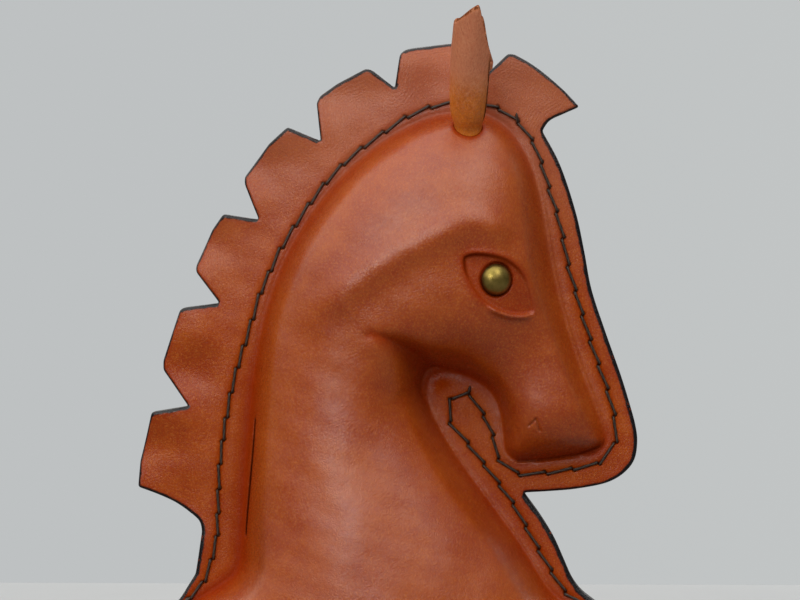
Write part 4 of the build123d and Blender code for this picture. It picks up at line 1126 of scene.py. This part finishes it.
right_eye = eye_cap("right_eye_brass", False)
left_eye = eye_cap("left_eye_brass", True)


# ---------------------------------------------------------------- node helpers
def srgb(*channels):
    return tuple(c / 255 / 12.92 if c / 255 <= 0.04045 else ((c / 255 + 0.055) / 1.055) ** 2.4
                 for c in channels)


class Graph:
    """Short calls for building a node tree; each returns an output socket."""

    def __init__(self, tree):
        self.tree = tree
        tree.nodes.clear()

    def new(self, kind):
        return self.tree.nodes.new("ShaderNode" + kind)

    def put(self, socket, value):
        if isinstance(value, bpy.types.NodeSocket):
            self.tree.links.new(value, socket)
        elif isinstance(value, tuple) and len(value) == 3 and len(socket.default_value) == 4:
            socket.default_value = (*value, 1.0)
        else:
            socket.default_value = value

    def node(self, kind, *values, output=0, props=None, **named):
        node = self.new(kind)
        for key, value in (props or {}).items():
            setattr(node, key, value)
        for i, value in enumerate(values):
            self.put(node.inputs[i], value)
        for key, value in named.items():
            self.put(node.inputs[key], value)
        return node.outputs[output]

    def math(self, op, a, b=0.0, clamp=False):
        return self.node("Math", a, b, 0.0, props={"operation": op, "use_clamp": clamp})

    def times(self, a, b, clamp=False):
        return self.math("MULTIPLY", a, b, clamp)

    def plus(self, a, b, clamp=False):
        return self.math("ADD", a, b, clamp)

    def minus(self, a, b, clamp=False):
        return self.math("SUBTRACT", a, b, clamp)

    def attr(self, name):
        return self.node("Attribute", output=2, props={"attribute_name": name})

    def smooth(self, value, span, to=(0.0, 1.0)):
        return self.node("MapRange", value, *span, *to,
                         props={"interpolation_type": "SMOOTHSTEP"})

    def linear(self, value, span, to):
        return self.node("MapRange", value, *span, *to)

    def mix(self, factor, a, b):
        node = self.new("Mix")
        node.data_type = "RGBA"
        node.clamp_factor = True
        for i, value in ((0, factor), (6, a), (7, b)):
            self.put(node.inputs[i], value)
        return node.outputs[2]


class Finish(Graph):
    """A material read in object coordinates, in millimetres."""

    def __init__(self, name):
        self.material = bpy.data.materials.new(name)
        self.material.use_nodes = True
        super().__init__(self.material.node_tree)
        out = self.new("OutputMaterial")
        self.bsdf = self.new("BsdfPrincipled")
        self.put(out.inputs[0], self.bsdf.outputs[0])
        self.coords = self.node("VectorMath", self.node("TexCoord", output=3), Scale=1000.0,
                                props={"operation": "SCALE"})

    def noise(self, scale, detail=2.0, rough=0.5, distort=0.0, at=None):
        return self.node("TexNoise", Vector=at or self.coords, Scale=scale, Detail=detail,
                         Roughness=rough, Distortion=distort)

    def stretched(self, scale):
        return self.node("Mapping", Vector=self.coords, Scale=scale)

    def voronoi(self, scale, feature):
        return self.node("TexVoronoi", props={"feature": feature}, Vector=self.coords,
                         Scale=scale, Randomness=1.0)

    def bump(self, height, strength, depth, normal=None):
        node = self.new("Bump")
        node.inputs["Strength"].default_value = strength
        node.inputs["Distance"].default_value = depth
        self.put(node.inputs["Height"], height)
        if normal is not None:
            self.put(node.inputs["Normal"], normal)
        return node.outputs[0]

    def done(self, **inputs):
        for key, value in inputs.items():
            self.put(self.bsdf.inputs[key.replace("_", " ")], value)
        return self.material


# ---------------------------------------------------------------- leather
def mane_wrinkles_and_sheen(m, colour, normal, edge, black, broad):
    """Pull-up wrinkles along the cut edge high on the mane, and a painted pinkish sheen towards
    the top.
    """
    z = m.node("SeparateXYZ", m.coords, output=2)
    wave = m.plus(m.times(edge, 6.2), m.times(m.noise(scale=0.07, detail=4.0, rough=0.65), 34.0))
    lines = m.times(m.plus(m.math("SINE", wave), 1.0), 0.5)
    high = m.times(m.smooth(z, span=(140.0, 160.0)), m.smooth(m.attr("sd"), span=(0.5, -2.5)))
    by_edge = m.times(m.times(high, m.smooth(edge, span=(14.0, 3.0))), 1.0)
    patches = m.smooth(m.noise(scale=0.12), span=(0.40, 0.62))
    wrinkles = m.times(lines, m.times(by_edge, patches))
    normal = m.bump(wrinkles, strength=0.15, depth=0.00022, normal=normal)
    colour = m.mix(m.times(wrinkles, 0.07), colour, srgb(205, 130, 104))
    painted_sheen = m.times(m.smooth(m.plus(z, m.times(broad, 30.0)), span=(110.0, 196.0), to=(0.0, 0.55)),
                   m.smooth(m.attr("sd"), span=(1.5, -1.5)))
    return m.mix(m.times(painted_sheen, m.minus(1.0, black)), colour, srgb(190, 118, 88)), normal


def ear_hatching(m, colour, normal, hollow, broad, deep):
    """Painted sheen towards the tip, and a fine pale hatching stretched along the ear."""
    height = m.plus(m.attr("hs"), m.times(broad, 10.0))
    painted_tip_sheen = m.smooth(height, span=(12.0, 26.0), to=(0.0, 0.85))
    colour = m.mix(m.times(painted_tip_sheen, m.minus(1.0, hollow)), colour, srgb(226, 138, 104))
    hatch = m.noise(scale=1.9, detail=3.0, rough=0.7, distort=0.5,
                    at=m.stretched(scale=(1.0, 1.0, 0.35)))
    # pale hatching: grain, made stronger towards the tip as painted sheen
    pale = m.times(m.smooth(hatch, span=(0.48, 0.60), to=(0.0, 0.60)),
                   m.smooth(height, span=(8.0, 22.0), to=(0.35, 1.0)))
    colour = m.mix(pale, colour, srgb(238, 160, 118))
    colour = m.mix(m.smooth(hatch, span=(0.44, 0.34), to=(0.0, 0.22)), colour, deep)
    return colour, m.bump(hatch, strength=0.45, depth=0.0005, normal=normal)


def leather(name, light, middle, deep, tint, kind, rough):
    m = Finish(name)
    edge = m.attr("ed")
    # mottled dye
    broad = m.noise(scale=0.040, detail=3.0, rough=0.55, distort=0.4)
    medium = m.noise(scale=0.16, detail=4.0, rough=0.62, distort=0.6)
    blots = m.noise(scale=0.085, distort=1.2)
    fine = m.noise(scale=1.1, detail=5.0, rough=0.65)
    specks = m.noise(scale=2.0, detail=3.0, rough=0.72)
    drift = m.plus(m.times(broad, 0.62), m.times(medium, 0.38))
    colour = m.mix(m.smooth(drift, span=(0.36, 0.64)), middle, light)
    colour = m.mix(m.smooth(blots, span=(0.50, 0.80), to=(0.0, 0.28)), colour, deep)
    colour = m.mix(m.smooth(fine, span=(0.40, 0.72), to=(0.0, 0.36)), colour, deep)
    colour = m.mix(m.smooth(specks, span=(0.50, 0.64), to=(0.0, 0.55)), colour, tint)
    # reddish painted shade in grooves and folds
    colour = m.mix(m.times(m.attr("red"), 0.80), colour, deep)
    pores = m.voronoi(scale=1.15, feature="DISTANCE_TO_EDGE")
    colour = m.mix(m.smooth(pores, span=(0.0, 0.09), to=(0.30, 0.0)), colour, deep)
    # near-black painted shade in hollows, creases and gaps, uneven in strength
    shade_variation = m.noise(scale=0.45, detail=3.0, rough=0.6)
    hollow = m.times(m.smooth(m.attr("cav"), span=(0.10, 0.95)),
                     m.linear(shade_variation, span=(0.3, 0.7), to=(0.75, 1.0)), clamp=True)
    colour = m.mix(hollow, colour, srgb(42, 12, 6))
    # dyed and burnished cut edge, its inner border uneven
    wobble = m.times(m.minus(m.noise(scale=0.30, detail=3.0, rough=0.6), 0.5), 0.9)
    past_edge = m.minus(m.plus(edge, wobble), m.attr("ew"))
    colour = m.mix(m.smooth(past_edge, span=(-0.2, 1.8), to=(0.40, 0.0)), colour, deep)
    worn = m.times(m.smooth(m.noise(scale=0.55), span=(0.66, 0.72)),
                   m.smooth(edge, span=(0.9, 0.2), to=(0.0, 0.6)))
    black = m.minus(m.smooth(past_edge, span=(-0.25, 0.30), to=(1.0, 0.0)), worn, clamp=True)
    ink = m.mix(m.noise(scale=0.6), srgb(9, 9, 13), srgb(26, 24, 30))
    colour = m.mix(black, colour, ink)
    # surface relief: grain, pores and cells
    relief = m.plus(m.times(m.noise(scale=2.0, detail=3.0, rough=0.68), 0.75),
                    m.times(m.smooth(pores, span=(0.0, 0.12)), 0.22))
    relief = m.plus(relief, m.times(m.voronoi(scale=1.9, feature="F1"), 0.35))
    normal = m.bump(relief, strength=0.42, depth=0.00024)
    if kind == "head":
        colour, normal = mane_wrinkles_and_sheen(m, colour, normal, edge, black, broad)
    if kind == "ear":
        colour, normal = ear_hatching(m, colour, normal, hollow, broad, deep)
    normal = m.bump(m.noise(scale=0.22), strength=0.22, depth=0.0005, normal=normal)
    # hollows are rough and dull, the burnished edge is smooth
    roughness = m.linear(m.noise(scale=0.7, detail=4.0, rough=0.6), span=(0.3, 0.7),
                         to=(rough - 0.04, rough + 0.06))
    roughness = m.plus(roughness, m.times(hollow, 0.22))
    roughness = m.minus(roughness, m.times(black, 0.12), clamp=True)
    dull = m.plus(m.times(hollow, 0.70), m.times(m.attr("red"), 0.74))
    shine = m.minus(0.80, dull, clamp=True)
    shine = m.minus(shine, m.times(black, 0.45), clamp=True)
    if kind == "head":
        flange = m.smooth(m.attr("sd"), span=(-1.8, -4.2), to=(0.0, 0.45))
        shine = m.minus(shine, flange, clamp=True)
        shine = m.plus(shine, m.times(black, 0.45), clamp=True)
    uncoated = m.times(m.plus(m.plus(hollow, black), m.attr("red")), 0.14)
    return m.done(Base_Color=colour, Roughness=roughness, Normal=normal,
                  Specular_IOR_Level=shine, Coat_Weight=m.minus(0.07, uncoated, clamp=True),
                  Coat_Roughness=0.27)


# ---------------------------------------------------------------- cord, brass, board
def cord_finish(name):
    m = Finish(name)
    blotch = m.noise(scale=1.6, detail=3.0, rough=0.6)
    # painted shade in the grooves between the strands, lighter on their crests
    colour = m.mix(m.attr("ply"), srgb(22, 16, 13), srgb(80, 64, 52))
    colour = m.mix(m.smooth(blotch, span=(0.45, 0.75), to=(0.0, 0.6)), colour, srgb(44, 34, 30))
    fibres = m.noise(scale=9.0, rough=0.7, at=m.stretched(scale=(1.0, 1.0, 1.0)))
    return m.done(Base_Color=colour,
                  Roughness=m.linear(blotch, span=(0.3, 0.7), to=(0.42, 0.62)),
                  Normal=m.bump(fibres, strength=0.4, depth=0.00012),
                  Specular_IOR_Level=0.5, Coat_Weight=0.15, Coat_Roughness=0.35)


def brass_finish(name):
    m = Finish(name)
    patches = m.noise(scale=0.35, detail=4.0, rough=0.6, distort=0.5)
    spots = m.noise(scale=2.5, detail=4.0, rough=0.7)
    colour = m.mix(m.smooth(patches, span=(0.35, 0.68)), srgb(150, 132, 66), srgb(176, 152, 84))
    colour = m.mix(m.smooth(spots, span=(0.52, 0.78), to=(0.0, 0.6)), colour, srgb(96, 78, 40))
    rim = m.smooth(m.attr("rad"), span=(0.80, 1.0), to=(0.0, 0.75))
    colour = m.mix(rim, colour, srgb(70, 52, 28))
    normal = m.bump(spots, strength=0.12, depth=0.00012)
    normal = m.bump(patches, strength=0.10, depth=0.0005, normal=normal)
    return m.done(Base_Color=colour, Metallic=0.92, Normal=normal,
                  Roughness=m.linear(patches, span=(0.3, 0.7), to=(0.27, 0.42)))


def board_finish(name):
    m = Finish(name)
    grain = m.noise(scale=0.9, detail=5.0, rough=0.65, distort=0.6,
                    at=m.stretched(scale=(0.06, 1.0, 1.0)))
    colour = m.mix(m.smooth(grain, span=(0.35, 0.65)), srgb(150, 112, 70), srgb(186, 150, 104))
    return m.done(Base_Color=colour,
                  Roughness=m.linear(grain, span=(0.3, 0.7), to=(0.55, 0.75)),
                  Normal=m.bump(grain, strength=0.3, depth=0.0003))


# deep: darker tone for blots and pores, and the colour of the reddish painted shade
head_leather = leather("head_leather_finish", light=srgb(188, 86, 16), middle=srgb(167, 63, 9),
                       deep=srgb(160, 44, 5), tint=srgb(216, 124, 50), kind="head", rough=0.25)
# the ear's colours are a brighter, yellower copy of the leather: partly its own tone, partly
# painted light making up for the little light it gets
ear_leather = leather("ear_leather_finish", light=srgb(246, 144, 20), middle=srgb(230, 120, 14),
                      deep=srgb(166, 70, 14), tint=srgb(250, 166, 54), kind="ear", rough=0.34)
sole_leather = leather("sole_leather_finish", light=srgb(150, 84, 44), middle=srgb(122, 60, 30),
                       deep=srgb(84, 34, 18), tint=srgb(170, 110, 70), kind="sole", rough=0.5)
cord = cord_finish("waxed_cord")
brass = brass_finish("aged_brass_finish")
board = board_finish("board_finish")


def set_finish(ob, material, slot):
    ob.data.materials.clear()
    ob.data.materials.append(material)


# new object, body it rides on, finish, slot, node it replaces
for ob, body, material, slot, node_name in (
        (right_panel, "head", head_leather, "head_leather", "right_panel"),
        (left_panel, "head", head_leather, "head_leather", "left_panel"),
        (seam_a, "head", cord, "waxed_thread", "seam_thread_a"),
        (seam_b, "head", cord, "waxed_thread", "seam_thread_b"),
        (sole_a, "head", cord, "waxed_thread", "sole_thread_a"),
        (sole_b, "head", cord, "waxed_thread", "sole_thread_b"),
        (sole, "head", sole_leather, "sole_leather", "sole"),
        (right_ear, "ear_right", ear_leather, "ear_leather", "right_ear"),
        (left_ear, "ear_left", ear_leather, "ear_leather", "left_ear"),
        (right_eye, "head", brass, "aged_brass", "right_eye_cap"),
        (left_eye, "head", brass, "aged_brass", "left_eye_cap")):
    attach(ob, body)
    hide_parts(node_name)
    set_finish(ob, material, slot)

# pieces kept as they are
for node_name, material, slot in (
        ("right_eye_post", brass, "aged_brass"), ("left_eye_post", brass, "aged_brass"),
        ("right_ear_keeper", sole_leather, "lining_leather"),
        ("left_ear_keeper", sole_leather, "lining_leather"),
        ("foot_board", board, "board_wood")):
    set_finish(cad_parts[node_name], material, slot)


# ---------------------------------------------------------------- floor and world, in metres
def floor_finish(name):
    """Pale to the camera, darker to all other rays."""
    m = Finish(name)
    pale = m.mix(m.noise(scale=0.02, detail=3.0), srgb(190, 193, 195), srgb(196, 199, 201))
    colour = m.mix(m.node("LightPath"), (0.15, 0.145, 0.14), pale)
    return m.done(Base_Color=colour, Roughness=0.75, Specular_IOR_Level=0.1)


def add_floor():
    material = floor_finish("pale_floor")
    verts = [(x, y, z) for x in (-1.6, 1.6) for y in (-1.6, 0.2386) for z in (-0.03, -0.0001)]
    mesh = bpy.data.meshes.new("floor")
    mesh.from_pydata(verts, [], [(0, 1, 3, 2), (4, 6, 7, 5), (0, 4, 5, 1), (2, 3, 7, 6),
                                 (0, 2, 6, 4), (1, 5, 7, 3)])
    ob = add_object("floor", mesh)
    ob.data.materials.append(material)
    ob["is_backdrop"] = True


def add_world():
    """Plain backdrop for the camera; a sky with dark low and side parts lights the piece."""
    world = bpy.data.worlds.new("studio")
    scene.world = world
    world.use_nodes = True
    w = Graph(world.node_tree)
    axes = w.new("SeparateXYZ")
    w.put(axes.inputs[0], w.node("TexCoord"))
    x, _, z = axes.outputs
    backdrop = w.mix(w.smooth(x, span=(-0.12, 0.12)), srgb(190, 193, 194), srgb(194, 197, 197))
    sky = w.mix(w.smooth(z, span=(0.13, 0.36)), (0.085, 0.066, 0.050), (1.06, 1.03, 0.98))
    sky = w.mix(w.smooth(z, span=(0.5, 0.95)), sky, (1.26, 1.25, 1.22))
    dark = w.mix(w.smooth(z, span=(-0.2, 0.6)), (0.06, 0.05, 0.04), (0.20, 0.19, 0.18))
    sky = w.mix(w.smooth(x, span=(0.34, 0.78)), sky, dark)
    sky = w.mix(w.smooth(x, span=(-0.80, -0.97), to=(0.0, 0.15)), sky, dark)
    shown = w.node("MixShader", w.node("LightPath"), w.node("Background", sky, Strength=0.88),
                   w.node("Background", backdrop))
    w.put(w.new("OutputWorld").inputs[0], shown)


add_floor()
add_world()

# ---------------------------------------------------------------- lights and camera, in metres
AIM = Vector((0.00345, 0.0, 0.105))
# name, azimuth from -Y towards +X, elevation, distance, width, height, power, colour
LIGHTS = [
    ("top_soft", -30, 55, 0.95, 0.7, 0.7, 0.85, (1.0, 0.985, 0.955)),
    ("left_soft", -17, 19, 1.10, 0.34, 0.50, 2.0, (1.0, 0.975, 0.94)),
    ("right_soft", 42, 44, 1.2, 0.5, 0.5, 1.65, (1.0, 0.98, 0.95)),
    ("rear_soft", 160, 35, 1.2, 0.9, 0.7, 2.5, (0.97, 0.98, 1.0)),
]
CAMERA_AZIMUTH, CAMERA_ELEVATION, CAMERA_DISTANCE = 2.0, 1.0, 1.3
VIEW_WIDTH = 0.240          # seen at the aim point


def add_aimed(name, data, azimuth, elevation, dist):
    a, e = math.radians(azimuth), math.radians(elevation)
    ob = add_object(name, data)
    ob.location = AIM + Vector((math.sin(a) * math.cos(e), -math.cos(a) * math.cos(e),
                                math.sin(e))) * dist
    ob.rotation_euler = (AIM - ob.location).to_track_quat("-Z", "Y").to_euler()
    return ob


for name, azimuth, elevation, dist, width, height, power, colour in LIGHTS:
    light = bpy.data.lights.new(name, "AREA")
    light.shape = "RECTANGLE"
    light.size, light.size_y = width, height
    light.energy = power
    light.color = colour
    add_aimed(name, light, azimuth, elevation, dist).visible_camera = False

camera = bpy.data.cameras.new("camera")
camera.sensor_width = 36.0
camera.lens = camera.sensor_width * CAMERA_DISTANCE / VIEW_WIDTH
camera.clip_start, camera.clip_end = 0.05, 20
scene.camera = add_aimed("camera", camera, CAMERA_AZIMUTH, CAMERA_ELEVATION, CAMERA_DISTANCE)
scene.view_settings.view_transform = "Standard"

bounds_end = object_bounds()


def plain(value):
    """Numbers, vectors and dictionaries as plain floats, lists and dictionaries."""
    if isinstance(value, (int, float)):
        return float(value)
    if isinstance(value, dict):
        return {key: plain(item) for key, item in value.items()}
    return [plain(item) for item in value]


{"start": plain(bounds_start), "end": plain(bounds_end)}
